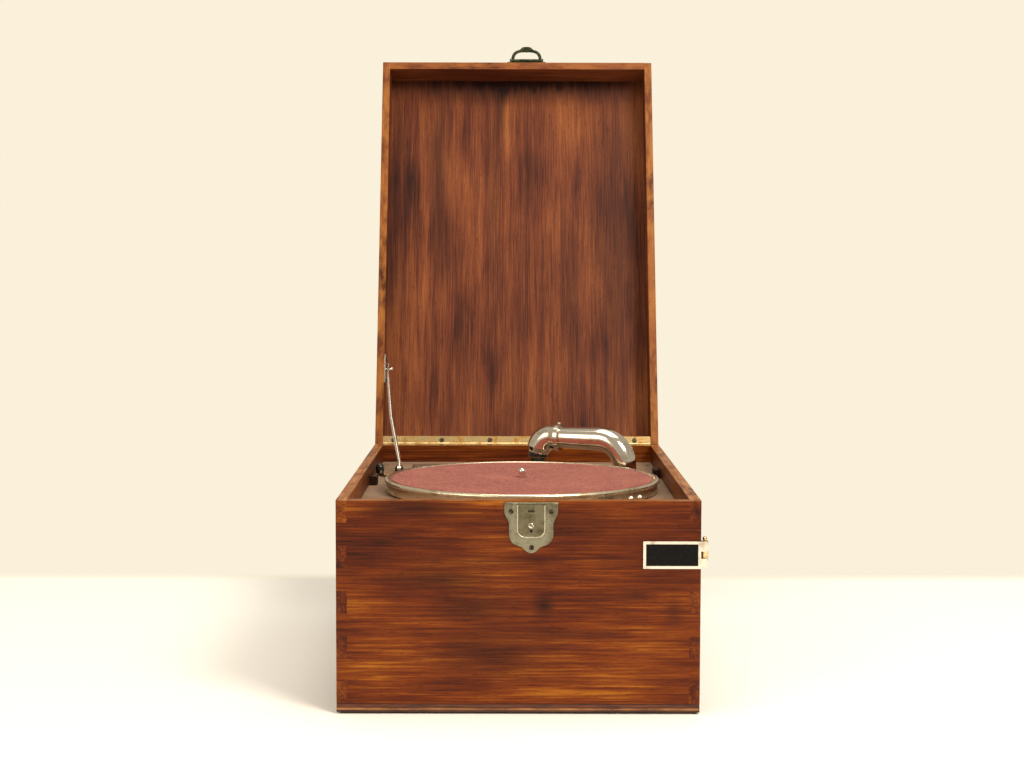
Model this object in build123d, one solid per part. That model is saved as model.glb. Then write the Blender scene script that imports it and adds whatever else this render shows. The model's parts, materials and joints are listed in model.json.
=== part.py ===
from build123d import *
import math
import os

# Wind-up portable gramophone in a wooden case, lid open, all sizes in millimetres.
# Origin: middle of the case's underside, on the surface that it stands on.
# +Z is up, +X is to the right and -Y is the front with the lock.

# Case
case_width = 300.0
case_depth = 437.0
case_height = 178.0
case_wall = 9.0
base_board = 7.2
foot_height = 1.6
foot_length = 70.0
foot_width = 40.0
foot_inset = 3.0
finger_count = 9
board_drop = 17.8
board_thickness = 9.0
batten_width = 12.0
batten_height = 11.0

# Lid
lid_wall = 8.0
lid_inside = 33.0
lid_panel = 6.0
lid_gap = 0.4
lid_open_angle = 108.6
lid_finger_count = 3

# Piano hinge
hinge_length = 283.0
hinge_leaf = 8.6
hinge_thickness = 0.7
hinge_knuckle_r = 1.7
hinge_pin_r = 0.8
hinge_knuckles = 23
hinge_screws = 6
hinge_screw_pitch = 51.0
screw_head_r = 2.6
screw_shank_r = 1.1
running_fit = 0.05
seat_gap = 0.3

# Turntable
turntable_d = 254.0
bead_r = 2.3
turntable_plate = 2.0
turntable_skirt = 1.2
felt_d = 241.5
felt_thickness = 2.0
turntable_x = 4.0
turntable_from_front = 197.0
skirt_lift = 1.2
skirt_height = 9.6
spindle_r = 3.5
spindle_shaft_r = 4.0
spindle_proud = 8.8

# Tone arm
arm_from_right = 44.0
arm_from_front = 312.0
arm_angle = 158.1
arm_foot_r = 12.4
arm_bend_r = 11.9
arm_tip_r = 10.6
arm_wall = 1.2
arm_sweep = 26.0
arm_rise = 35.7
arm_taper_end = 66.4
arm_reach = 76.5
arm_below_board = 19.0
flange_r = 19.5
flange_height = 3.2
bush_wall = 2.6
elbow_start = 67.0
elbow_bend_start = 76.1
elbow_bend_r = 13.8
elbow_turn = 77.0
elbow_collar_r = 14.0
elbow_belly_r = 12.5
elbow_leg_r = 9.9
elbow_bore_r = 7.6
elbow_end_r = 21.1
elbow_cone = 4.5
bush_length = 12.0

# Sound box, put away in the front left corner of the board
soundbox_r = 24.0
soundbox_height = 9.6
soundbox_neck_r = 8.0
soundbox_neck = 13.0
soundbox_inset = 29.0
diaphragm_r = 19.5
diaphragm_thickness = 0.5

# Sound opening and horn
mouth_from_left = 42.0
mouth_width = 96.0
mouth_front = 338.0
mouth_back = 409.0
horn_sheet = 1.5

# Lid stay
stay_from_left = 32.0
stay_from_front = 331.0
stay_pivot_height = 3.8
stay_rod_r = 1.8
stay_pin_along = 84.0
stay_pin_deep = 9.0
stay_pin_r = 1.5
stay_tip_from_left = 12.0

# Needle tray
tray_length = 47.6
tray_drop = 33.4
tray_tall = 22.8
tray_frame = 2.4
tray_overlap = 2.0
tray_clear = 0.6
tray_sheet = 0.8
tray_plate = 1.6
tray_knuckle_r = 3.0
tray_pin_out = 3.4
tray_pin_in = 4.0
tray_inner_r = 15.2

# Motor
gear_module = 1.0
pinion_teeth = 12
wheel_teeth = 60
great_teeth = 72
motor_plate = 3.0
motor_spacer = 3.2
motor_inside = 47.0
barrel_x = -62.0
barrel_y = -30.0
barrel_r = 32.0
barrel_arbor_r = 4.0
arbor_r = 2.5
governor_angle = -15.0
winding_drop = 12.0
winding_r = 5.0

front = -case_depth / 2
back = case_depth / 2
right = case_width / 2
left = -case_width / 2
wall_foot = foot_height + base_board
rim = case_height
board_top = rim - board_drop
board_low = board_top - board_thickness
hinge_y = back
hinge_z = rim + lid_gap / 2
spin_x = turntable_x
spin_y = front + turntable_from_front
arm_x = right - arm_from_right
arm_y = front + arm_from_front
stay_x = left + stay_from_left
stay_tip_x = left + stay_tip_from_left
mouth_left = left + mouth_from_left
mouth_right = mouth_left + mouth_width
tray_left = right - tray_length
tray_high = rim - tray_drop
tray_low = tray_high - tray_tall
arm_axis_z = board_top + arm_rise


def block(x0, x1, y0, y1, z0, z1):
    """A box between two corners."""
    middle = Pos((x0 + x1) / 2, (y0 + y1) / 2, (z0 + z1) / 2)
    return middle * Box(x1 - x0, y1 - y0, z1 - z0)


def rod_z(x, y, z0, z1, radius):
    """An upright cylinder."""
    return Pos(x, y, (z0 + z1) / 2) * Cylinder(radius, z1 - z0)


def rod_x(x0, x1, y, z, radius):
    """A cylinder along X."""
    return Pos((x0 + x1) / 2, y, z) * Rot(0, 90, 0) * Cylinder(radius, x1 - x0)


def rod_y(x, y0, y1, z, radius):
    """A cylinder along Y."""
    return Pos(x, (y0 + y1) / 2, z) * Rot(90, 0, 0) * Cylinder(radius, y1 - y0)


def rod_between(start, end, radius, end_radius=None):
    """A round bar, or a cone, from one point to another."""
    a = Vector(*start)
    b = Vector(*end)
    plane = Plane(origin=(a + b) * 0.5, z_dir=(b - a).normalized())
    length = (b - a).length
    if end_radius is None or abs(end_radius - radius) < 1e-6:
        return plane * Cylinder(radius, length)
    return plane * Cone(radius, end_radius, length)


def joined(shapes):
    """One compound of separate solids."""
    solids = []
    for shape in shapes:
        solids.extend(shape.solids())
    return Compound(children=solids)


def single(shape):
    """The one solid of a shape."""
    return shape.solids()[0]


def wood_screw(x, y, z, length):
    """Countersunk screw whose flat head is level with z and whose shank points down."""
    head = Pos(x, y, z - 0.7) * Cone(screw_shank_r, screw_head_r, 1.4)
    return head + rod_z(x, y, z - length, z - 1.4, screw_shank_r)


def opened(shape):
    """Turns a piece that is drawn on the closed lid to the open rest pose."""
    return shape.rotate(Axis((0, hinge_y, hinge_z), (1, 0, 0)), -lid_open_angle)


def finger_pockets(x0, x1, y0, y1, z0, z1, count, odd):
    """Every second finger of a corner, stacked in z."""
    step = (z1 - z0) / count
    chosen = [i for i in range(count) if (i % 2 == 1) == odd]
    return [block(x0, x1, y0, y1, z0 + i * step, z0 + (i + 1) * step) for i in chosen]


def cut_all(shape, tools):
    """The shape less every tool."""
    for tool in tools:
        shape = shape - tool
    return shape


def corner_fingers(odd, z0, z1, wall, count):
    """The fingers at the four upright corners that one pair of walls gives up."""
    tools = []
    for x0, x1 in ((left, left + wall), (right - wall, right)):
        for y0, y1 in ((front, front + wall), (back - wall, back)):
            tools += finger_pockets(x0, x1, y0, y1, z0, z1, count, odd)
    return tools


def hinge_screw_places():
    """X places of the screws along the hinge."""
    return [(i - (hinge_screws - 1) / 2) * hinge_screw_pitch - 3.0 for i in range(hinge_screws)]


leaf_mid = back - hinge_leaf / 2


def hinge_pockets_case():
    """The rebate for the lower leaf and its screws."""
    tools = [block(-hinge_length / 2, hinge_length / 2, back - hinge_leaf, back,
                   rim - hinge_thickness, rim + 1)]
    tools.append(rod_x(-hinge_length / 2, hinge_length / 2, hinge_y, hinge_z, hinge_knuckle_r + 0.3))
    for x in hinge_screw_places():
        tools.append(wood_screw(x, leaf_mid, rim, 11.0))
    return tools


def hinge_pin_x():
    """X place of the needle tray's pin, just outside the right wall."""
    return right + tray_pin_out


def hinge_pin_y():
    """Y place of the needle tray's pin, just behind the front face."""
    return front + tray_pin_in


def tray_outer_r():
    """Outer radius of the tray's box about its pin."""
    return hinge_pin_x() - tray_left - tray_overlap - tray_clear


def tray_pocket():
    """The opening at the right front corner that the needle tray swings out of."""
    z0, z1 = tray_low + tray_overlap, tray_high - tray_overlap
    swing = rod_z(hinge_pin_x(), hinge_pin_y(), z0, z1, tray_outer_r() + tray_clear)
    window = block(tray_left, right - case_wall - 1.0, front - 1, front + 20.0, z0, z1)
    return swing & window


lock_x = 10.4
lock_high = rim - 1.3
lock_low = rim - 43.4
lock_half = 22.0
lock_plate_t = 1.2
lock_box_half = 11.7
lock_box_high = rim - 3.0
lock_box_low = rim - 30.6
lock_box_proud = 3.0
lock_mortise = 6.0
key_z = rim - 20.4


def lock_pocket():
    """The mortise for the lock's case."""
    return block(lock_x - lock_box_half, lock_x + lock_box_half, front - 1, front + lock_mortise,
                 lock_box_low, lock_box_high)


def lock_screws_at():
    """Places of the three lock screws."""
    high, low = rim - 9.1, rim - 38.8
    return [(lock_x - 16.6, high), (lock_x + 16.6, high), (lock_x + 0.4, low)]


def lock_screw(x, z):
    """A round-head screw driven in from the front."""
    head = rod_y(x, front - lock_plate_t - 0.9, front - lock_plate_t, z, 2.1)
    shank = rod_y(x, front - lock_plate_t, front + 6.5, z, 1.0)
    return head + shank


def front_panel():
    """Front wall with its fingers, the lock's mortise and the tray's opening."""
    wall = block(left, right, front, front + case_wall, wall_foot, rim)
    wall = cut_all(wall, corner_fingers(False, wall_foot, rim, case_wall, finger_count))
    wall = wall - lock_pocket() - tray_pocket()
    for x, z in lock_screws_at():
        wall = wall - rod_y(x, front - 1, front + 6.5, z, 1.0)
    return single(wall)


def rear_panel():
    """Rear wall with the rebate for the hinge."""
    wall = block(left, right, back - case_wall, back, wall_foot, rim)
    wall = cut_all(wall, corner_fingers(False, wall_foot, rim, case_wall, finger_count))
    return single(cut_all(wall, hinge_pockets_case()))


def side_panel(side):
    """Left (-1) or right (1) wall."""
    x0, x1 = (left, left + case_wall) if side < 0 else (right - case_wall, right)
    wall = block(x0, x1, front, back, wall_foot, rim)
    wall = cut_all(wall, corner_fingers(True, wall_foot, rim, case_wall, finger_count))
    wall = cut_all(wall, hinge_pockets_case())
    if side > 0:
        wall = wall - rod_x(x0 - 1, x1 + 1, crank_y, crank_z, crank_hole_r)
        for y in winding_screw_places():
            wall = wall - rod_x(right - 6.5, right + 1, y, crank_z, 1.0)
        for z in tray_bracket_screws():
            wall = wall - rod_x(right - 6.5, right + 1, tray_bracket_y, z, 1.0)
    return single(wall)


def bottom_board():
    """Plywood base plate under the walls."""
    return single(block(left, right, front, back, foot_height, wall_foot))


def feet():
    """Thin pads at the corners and in the middle of the underside."""
    pads = []
    for sx in (-1, 1):
        for sy in (-1, 1):
            x = sx * (right - foot_inset - foot_length / 2)
            y = sy * (back - foot_inset - foot_width / 2)
            pads.append(Pos(x, y, foot_height / 2) * Box(foot_length, foot_width, foot_height))
    pads.append(Pos(0, 0, foot_height / 2) * Box(foot_width, foot_width, foot_height))
    return joined(pads)


batten_low = board_low - batten_height


def battens():
    """Four strips glued round the inside that the motor board lies on."""
    inner_x = right - case_wall
    inner_y = back - case_wall
    strips = [
        block(-inner_x, -inner_x + batten_width, -inner_y, inner_y, batten_low, board_low),
        block(inner_x - batten_width, inner_x, front + 50.0, inner_y, batten_low, board_low),
        block(-inner_x + batten_width, tray_left - 10.0, -inner_y, -inner_y + batten_width,
              batten_low, board_low),
        block(-inner_x + batten_width, inner_x - batten_width, inner_y - 6.0, inner_y, batten_low, board_low),
    ]
    return joined(strips)


board_screw_inset = 7.0


def board_screw_places():
    """Eight places round the edge of the motor board."""
    x = right - case_wall - board_screw_inset + 5.0
    places = []
    for y in (front + 62.0, front + 256.0, back - 40.0):
        places.append((x - 3.5, y))
        places.append((-x + 3.5, y))
    places.append((-62.0, front + case_wall + board_screw_inset))
    places.append((58.0, front + case_wall + board_screw_inset))
    return places


def motor_bolt_places():
    """Places of the bolts that hang the motor under the board."""
    return [(x, y) for x in (motor_x0 + 6, motor_x1 - 6) for y in (motor_y0 + 6, motor_y1 - 6)]


soundbox_x = left + case_wall + soundbox_inset
soundbox_y = front + case_wall + soundbox_inset


def motor_board():
    """The board that carries everything, with its holes and the sound opening."""
    clear = 0.25
    inner_x = right - case_wall - clear
    inner_y = back - case_wall - clear
    board = block(-inner_x, inner_x, -inner_y, inner_y, board_low, board_top)
    board = board - block(mouth_left, mouth_right, front + mouth_front, front + mouth_back,
                          board_low - 1, board_top + 1)
    board = board - rod_z(spin_x, spin_y, board_low - 1, board_top + 1, 9.0)
    board = board - rod_z(arm_x, arm_y, board_low - 1, board_top + 1, arm_foot_r + running_fit + bush_wall)
    board = board - rod_z(soundbox_x, soundbox_y, board_low - 1, board_top + 1, soundbox_neck_r + running_fit)
    for x, y in board_screw_places():
        board = board - wood_screw(x, y, board_top, board_thickness + 4.0)
    for x, y in arm_screw_places():
        board = board - rod_z(x, y, board_top - 5.0, board_top + 1, 0.9)
    for x, y in motor_bolt_places():
        board = board - rod_z(x, y, board_low - 1, board_top + 1, 2.0)
    board = board - rod_z(brake_x, brake_y, board_top - 5.0, board_top + 1, 1.5)
    board = board - rod_z(speed_x, speed_y, board_low - 1, board_top + 1, 3.0 + running_fit)
    board = board - rod_z(rest_x, rest_y, board_top - 5.0, board_top + 1, 1.5)
    for x, y in clip_places():
        board = board - rod_z(x, y, board_top - 5.0, board_top + 1, 1.0)
    for y in stay_screw_places():
        board = board - rod_z(stay_x, y, board_top - 5.0, board_top + 1, 1.0)
    return single(board)


def board_screws():
    """Screws round the edge of the motor board, down into the battens."""
    return joined([wood_screw(x, y, board_top, board_thickness + 4.0) for x, y in board_screw_places()])


def battens_with_holes():
    """The battens with the holes for the board's screws."""
    strips = []
    for strip in battens().solids():
        cut = strip
        for x, y in board_screw_places():
            cut = cut - rod_z(x, y, board_low - 4.0, board_low + 1, screw_shank_r)
        strips.append(cut)
    return joined(strips)


# Hinge
hinge_bore_r = hinge_pin_r + running_fit


def knuckle_row(odd):
    """Every second knuckle of the hinge."""
    step = hinge_length / hinge_knuckles
    half_gap = 0.1
    row = []
    for i in range(hinge_knuckles):
        if (i % 2 == 1) == odd:
            x0 = -hinge_length / 2 + i * step + half_gap
            row.append(rod_x(x0, x0 + step - 2 * half_gap, hinge_y, hinge_z, hinge_knuckle_r))
    return row


def hinge_leaf_case():
    """Lower leaf, let into the rear wall's top edge."""
    leaf = block(-hinge_length / 2, hinge_length / 2, back - hinge_leaf, back + 0.4,
                 rim - hinge_thickness, rim)
    leaf = leaf - rod_x(-hinge_length / 2 - 1, hinge_length / 2 + 1, hinge_y, hinge_z, hinge_knuckle_r + 0.25)
    step = hinge_length / hinge_knuckles
    for i in range(0, hinge_knuckles, 2):
        x0 = -hinge_length / 2 + i * step + 0.1
        leaf = leaf + block(x0, x0 + step - 0.2, back - 3.0, back, rim - hinge_thickness, rim)
    for knuckle in knuckle_row(False):
        leaf = leaf + knuckle
    leaf = leaf - rod_x(-hinge_length / 2 - 1, hinge_length / 2 + 1, hinge_y, hinge_z, hinge_bore_r)
    for x in hinge_screw_places():
        leaf = leaf - wood_screw(x, leaf_mid, rim, 11.0)
    return single(leaf)


lid_low = rim + lid_gap


def hinge_leaf_lid():
    """Upper leaf, drawn on the closed lid."""
    z1 = lid_low + hinge_thickness
    leaf = block(-hinge_length / 2, hinge_length / 2, back - hinge_leaf, back + 0.4, lid_low, z1)
    leaf = leaf - rod_x(-hinge_length / 2 - 1, hinge_length / 2 + 1, hinge_y, hinge_z, hinge_knuckle_r + 0.25)
    step = hinge_length / hinge_knuckles
    for i in range(1, hinge_knuckles, 2):
        x0 = -hinge_length / 2 + i * step + 0.1
        leaf = leaf + block(x0, x0 + step - 0.2, back - 3.0, back, lid_low, z1)
    for knuckle in knuckle_row(True):
        leaf = leaf + knuckle
    leaf = leaf - rod_x(-hinge_length / 2 - 1, hinge_length / 2 + 1, hinge_y, hinge_z, hinge_bore_r)
    for x in hinge_screw_places():
        leaf = leaf - upward_screw(x)
    return single(opened(leaf))


def upward_screw(x):
    """A screw through the upper leaf into the closed lid's rear wall."""
    head = Pos(x, leaf_mid, lid_low + 0.7) * Cone(screw_head_r, screw_shank_r, 1.4)
    return head + rod_z(x, leaf_mid, lid_low + 1.4, lid_low + 11.0, screw_shank_r)


def hinge_pin():
    """The pin through all knuckles."""
    return single(rod_x(-hinge_length / 2, hinge_length / 2, hinge_y, hinge_z, hinge_pin_r))


def hinge_screws_case():
    """Screws in the lower leaf."""
    return joined([wood_screw(x, leaf_mid, rim, 11.0) for x in hinge_screw_places()])


def hinge_screws_lid():
    """Screws in the upper leaf."""
    return joined([opened(upward_screw(x)) for x in hinge_screw_places()])


# Lid, drawn closed and then opened
lid_high = lid_low + lid_inside


def lid_fingers(odd):
    """The corner fingers of the lid's walls."""
    tools = []
    for x0, x1 in ((left, left + lid_wall), (right - lid_wall, right)):
        for y0, y1 in ((front, front + lid_wall), (back - lid_wall, back)):
            tools += finger_pockets(x0, x1, y0, y1, lid_low, lid_high, lid_finger_count, odd)
    return tools


def lid_hinge_tools():
    """Rebate and screw holes for the upper leaf."""
    z1 = lid_low + hinge_thickness
    tools = [block(-hinge_length / 2, hinge_length / 2, back - hinge_leaf, back, lid_low - 1, z1)]
    tools.append(rod_x(-hinge_length / 2, hinge_length / 2, hinge_y, hinge_z, hinge_knuckle_r + 0.3))
    tools += [upward_screw(x) for x in hinge_screw_places()]
    return tools


hasp_x = 10.4
hasp_plate_half = 21.3
hasp_axis_up = 5.0
hasp_axis_out = 4.2
hasp_half = 17.0
hasp_knuckle_r = 2.0
hasp_pin_r = 0.8
hasp_plate_t = 1.2
hasp_hole_z = lid_low + 9.8


def hasp_screw_places():
    """Places of the two screws of the hasp's plate."""
    return [hasp_x - 13.0, hasp_x + 13.0]


def lid_front_wall():
    """The lid's wall that meets the case's front."""
    wall = block(left, right, front, front + lid_wall, lid_low, lid_high)
    wall = cut_all(wall, lid_fingers(False))
    for x in hasp_screw_places():
        wall = wall - rod_y(x, front - 1, front + 6.0, hasp_hole_z, 1.0)
    return single(opened(wall))


def lid_rear_wall():
    """The lid's wall at the hinge."""
    wall = block(left, right, back - lid_wall, back, lid_low, lid_high)
    wall = cut_all(wall, lid_fingers(False))
    return single(opened(cut_all(wall, lid_hinge_tools())))


def lid_side_wall(side):
    """The lid's left (-1) or right (1) wall."""
    x0, x1 = (left, left + lid_wall) if side < 0 else (right - lid_wall, right)
    wall = block(x0, x1, front, back, lid_low, lid_high)
    wall = cut_all(wall, lid_fingers(True))
    wall = cut_all(wall, lid_hinge_tools())
    if side < 0:
        for y in bracket_screw_places():
            wall = wall - rod_x(left + 3.0, x1 + 1, y, bracket_z, 1.0)
    return single(opened(wall))


def lid_top_panel():
    """Plywood panel glued over the lid's walls."""
    return single(opened(block(left, right, front, back, lid_high, lid_high + lid_panel)))


# Lid stay: a rod hinged on the board, hooked over a pin on the lid's left wall
pin_y_closed = back - stay_pin_along
bracket_z = lid_low + stay_pin_deep
bracket_plate_t = 1.2


def bracket_screw_places():
    """Closed-lid Y places of the bracket's two screws."""
    return [pin_y_closed - 11.5, pin_y_closed + 11.5]


def stay_bracket():
    """Nickel plate and pin on the lid's left wall."""
    x0 = left + lid_wall
    plate = block(x0, x0 + bracket_plate_t, pin_y_closed - 15.5, pin_y_closed + 15.5,
                  bracket_z - 5, bracket_z + 5)
    for y in bracket_screw_places():
        plate = plate - rod_x(x0 - 1, x0 + 2, y, bracket_z, 1.0)
    plate = plate + rod_x(x0 + bracket_plate_t, stay_tip_x + 3.4, pin_y_closed, bracket_z, stay_pin_r)
    plate = plate + rod_x(stay_tip_x + 3.4, stay_tip_x + 4.4, pin_y_closed, bracket_z, stay_pin_r + 1.0)
    return single(opened(plate))


def stay_bracket_screws():
    """Two screws of the bracket."""
    x0 = left + lid_wall + bracket_plate_t
    screws = []
    for y in bracket_screw_places():
        screw = rod_x(left + 3.0, x0, y, bracket_z, 1.0)
        screws.append(opened(screw + rod_x(x0, x0 + 1.0, y, bracket_z, 2.2)))
    return joined(screws)


stay_y = front + stay_from_front
stay_z = board_top + stay_pivot_height


def open_point(y, z):
    """Where a point of the closed lid lies when the lid is open."""
    turn = math.radians(-lid_open_angle)
    dy, dz = y - hinge_y, z - hinge_z
    return (hinge_y + dy * math.cos(turn) - dz * math.sin(turn),
            hinge_z + dy * math.sin(turn) + dz * math.cos(turn))


def stay_line():
    """The rod's slope in the YZ plane and the two ends of its straight stretch."""
    py, pz = open_point(pin_y_closed, bracket_z)
    offset = stay_rod_r + stay_pin_r + seat_gap
    span = math.hypot(py - stay_y, pz - stay_z)
    slope = math.atan2(pz - stay_z, py - stay_y) + math.asin(offset / span)
    along = math.sqrt(span ** 2 - offset ** 2)
    return slope, along


def stay_rod():
    """Rod with an eye at the board and a hooked end over the pin."""
    slope, along = stay_line()
    cy, cz = math.cos(slope), math.sin(slope)
    hook = along + stay_pin_r + seat_gap + stay_rod_r
    top = (stay_tip_x, stay_y + cy * hook, stay_z + cz * hook)
    lip = 5.4
    tip = (stay_tip_x, top[1] + cz * lip, top[2] - cy * lip)
    level = along - 8.0
    knee = (stay_tip_x, stay_y + cy * level, stay_z + cz * level)
    bow = (stay_x - 12.5, stay_y + cy * along * 0.5, stay_z + cz * along * 0.5)
    foot = (stay_x, stay_y, stay_z)
    neck = (stay_x, stay_y + cy * 9.0, stay_z + cz * 9.0)
    rod = Pos(*foot) * Rot(0, 90, 0) * Cylinder(3.2, 2 * stay_rod_r)
    points = [foot, neck, bow, knee, top, tip]
    for a, b in zip(points, points[1:]):
        rod = rod + rod_between(a, b, stay_rod_r)
    for p in points[1:]:
        rod = rod + Pos(*p) * Sphere(stay_rod_r)
    rod = rod - rod_x(stay_x - 5, stay_x + 5, stay_y, stay_z, 1.3 + running_fit)
    return single(rod)


ear_t = 1.2
ear_in = stay_rod_r + seat_gap


def stay_screw_places():
    """Y places of the two screws in the stay's foot bracket."""
    return [stay_y - 8.5, stay_y + 8.5]


def stay_foot_bracket():
    """Small folded bracket on the board with two ears and the rivet through them."""
    plate = block(stay_x - 5.0, stay_x + 5.0, stay_y - 12.0, stay_y + 12.0, board_top, board_top + 0.4)
    shape = plate
    for side in (-1, 1):
        x0 = stay_x + side * (ear_in + ear_t / 2)
        ear = block(x0 - ear_t / 2, x0 + ear_t / 2, stay_y - 3.6, stay_y + 3.6, board_top, stay_z)
        shape = shape + ear + rod_x(x0 - ear_t / 2, x0 + ear_t / 2, stay_y, stay_z, 3.6)
    outer = ear_in + ear_t
    shape = shape + rod_x(stay_x - outer, stay_x + outer, stay_y, stay_z, 1.3)
    for side in (-1, 1):
        x0, x1 = stay_x + side * outer, stay_x + side * (outer + 0.8)
        shape = shape + rod_x(min(x0, x1), max(x0, x1), stay_y, stay_z, 2.0)
    for y in stay_screw_places():
        shape = shape - rod_z(stay_x, y, board_top - 1, board_top + 1, 1.0)
    return single(shape)


def stay_foot_screws():
    """Screws of the foot bracket."""
    screws = []
    for y in stay_screw_places():
        screws.append(rod_z(stay_x, y, board_top - 5.0, board_top + 0.4, 1.0)
                      + rod_z(stay_x, y, board_top + 0.4, board_top + 1.4, 2.2))
    return joined(screws)


# Lock and hasp
slot_low = rim - 9.4
slot_high = rim - 3.6
slot_half = 2.7


def lock_outline():
    """Half outline of the shield plate, from the top corner down to the bottom lobe."""
    drops = [(lock_half, 9.4), (20.6, 13.4), (18.6, 17.5), (18.2, 24.0), (18.0, 29.5),
             (16.2, 34.0), (11.6, 37.1), (7.2, 38.8), (4.6, 41.4)]
    return [(x, rim - drop) for x, drop in drops] + [(0.0, lock_low)]


def lock_plate():
    """Shield-shaped face plate with a turned-over top edge."""
    half = lock_outline()
    curve = Spline(*[(x, z) for x, z in half + [(-x, z) for x, z in reversed(half[:-1])]])
    top = Polyline((-lock_half, half[0][1]), (-lock_half, lock_high), (lock_half, lock_high),
                   (lock_half, half[0][1]))
    face = make_face(curve.edges() + top.edges())
    plate = extrude(Plane(origin=(lock_x, front, 0), x_dir=(1, 0, 0), z_dir=(0, -1, 0)) * face, lock_plate_t)
    for side in (-1, 1):
        x0 = lock_x + side * (lock_box_half + 0.2)
        x1 = lock_x + side * lock_half
        plate = plate + rod_x(min(x0, x1), max(x0, x1), front - lock_plate_t, lock_high - 1.1, 1.1)
    plate = plate - lock_box()
    for x, z in lock_screws_at():
        plate = plate - rod_y(x, front - 3, front + 1, z, 1.0)
    return single(plate)


def lock_box():
    """The raised box with its rounded foot, from the proud front to the bottom of the mortise."""
    z0, z1 = lock_box_low, lock_box_high
    radius = 7.0
    upper = block(lock_x - lock_box_half, lock_x + lock_box_half, front - lock_box_proud,
                  front + lock_mortise, z0 + radius, z1)
    lower = block(lock_x - lock_box_half + radius, lock_x + lock_box_half - radius, front - lock_box_proud,
                  front + lock_mortise, z0, z1)
    box = upper + lower
    for side in (-1, 1):
        x = lock_x + side * (lock_box_half - radius)
        box = box + rod_y(x, front - lock_box_proud, front + lock_mortise, z0 + radius, radius)
    return box


def lock_case():
    """Lock body with the hasp's slot and the key slot, and the slotted barrel in its face."""
    box = lock_box()
    box = box - block(lock_x - slot_half, lock_x + slot_half, front - lock_box_proud - 1, front + 1.0,
                      slot_low, slot_high)
    face = front - lock_box_proud
    box = box - rod_y(lock_x, face - 1, face + 1.2, key_z, 2.6)
    box = box - block(lock_x - 1.0, lock_x + 1.0, face - 1, face + 6.0, key_z - 5.6, key_z - 3.2)
    barrel = rod_y(lock_x, face - 0.3, face + 1.2, key_z, 2.6)
    slot = Pos(lock_x, face, key_z) * Rot(0, 35, 0) * Box(4.2, 1.4, 0.9)
    return joined([box, barrel - slot])


def lock_screws():
    """Three screws of the lock's plate."""
    return joined([lock_screw(x, z) for x, z in lock_screws_at()])


hasp_y = front - hasp_axis_out
hasp_z = lid_low + hasp_axis_up


def hasp_base():
    """Plate on the lid's front wall with two ears and the hasp's pin."""
    y1 = front
    y0 = front - hasp_plate_t
    shape = block(hasp_x - hasp_plate_half, hasp_x + hasp_plate_half, y0, y1, lid_low + 0.8, lid_low + 12.4)
    for side in (-1, 1):
        x0 = hasp_x + side * (hasp_half + 0.3)
        x1 = x0 + side * 1.4
        ear = block(min(x0, x1), max(x0, x1), hasp_y, y1, hasp_z - 2.4, hasp_z + 2.4)
        shape = shape + ear + rod_x(min(x0, x1), max(x0, x1), hasp_y, hasp_z, 2.4)
    shape = shape + rod_x(hasp_x - hasp_half - 1.0, hasp_x + hasp_half + 1.0, hasp_y, hasp_z, hasp_pin_r)
    for x in hasp_screw_places():
        shape = shape - rod_y(x, front - 3, front + 1, hasp_hole_z, 1.0)
    return single(opened(shape))


def hasp_screws():
    """Two screws of the hasp's plate."""
    screws = []
    for x in hasp_screw_places():
        head = rod_y(x, front - hasp_plate_t - 0.8, front - hasp_plate_t, hasp_hole_z, 1.8)
        screws.append(opened(head + rod_y(x, front - hasp_plate_t, front + 6.0, hasp_hole_z, 1.0)))
    return joined(screws)


def hasp():
    """Arched loop that folds down over the lock, with its staple."""
    outer = [(17.0, 0.0), (16.8, 4.4), (14.8, 9.0), (10.8, 12.2), (7.4, 13.5), (5.0, 15.8), (0.0, 16.8)]
    inner = [(13.4, 1.2), (13.0, 5.2), (10.6, 8.8), (6.0, 10.4), (0.0, 10.8)]
    frames = []
    for half in (outer, inner):
        points = half + [(-x, v) for x, v in reversed(half[:-1])]
        curve = Spline(*points)
        base = Line(points[-1], points[0])
        frames.append(make_face(curve.edges() + base.edges()))
    plane = Plane(origin=(hasp_x, hasp_y, hasp_z - 0.7), x_dir=(1, 0, 0), z_dir=(0, 0, -1))
    loop = extrude(plane * (frames[0] - frames[1]), -1.4)
    loop = loop + rod_x(hasp_x - hasp_half, hasp_x + hasp_half, hasp_y, hasp_z, hasp_knuckle_r)
    loop = loop + rod_z(hasp_x, hasp_y - 11.8, hasp_z - 3.2, hasp_z, 1.8)
    loop = loop - rod_x(hasp_x - hasp_half - 1, hasp_x + hasp_half + 1, hasp_y, hasp_z,
                        hasp_pin_r + running_fit)
    return single(opened(loop))


# Turntable
plate_low = board_top + skirt_lift + skirt_height - turntable_plate
plate_top = plate_low + turntable_plate
bead_centre_r = turntable_d / 2 - bead_r
skirt_r = bead_centre_r + 0.8
felt_top = plate_top + felt_thickness


def turntable_shell():
    """Pressed platter with a deep skirt, a rolled bead and a hub."""
    skirt = rod_z(spin_x, spin_y, board_top + skirt_lift, plate_top, skirt_r)
    skirt = skirt - rod_z(spin_x, spin_y, board_top, plate_low, skirt_r - turntable_skirt)
    bead = Pos(spin_x, spin_y, plate_top) * Torus(bead_centre_r, bead_r)
    hub = rod_z(spin_x, spin_y, plate_low - 6.0, plate_low, 9.0)
    shell = skirt + bead + hub
    return single(shell - rod_z(spin_x, spin_y, board_top, felt_top, spindle_shaft_r))


def felt_mat():
    """Felt disc on the platter."""
    mat = rod_z(spin_x, spin_y, plate_top, felt_top, felt_d / 2)
    return single(mat - rod_z(spin_x, spin_y, plate_top - 1, felt_top + 1, spindle_shaft_r + 0.6))


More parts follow.
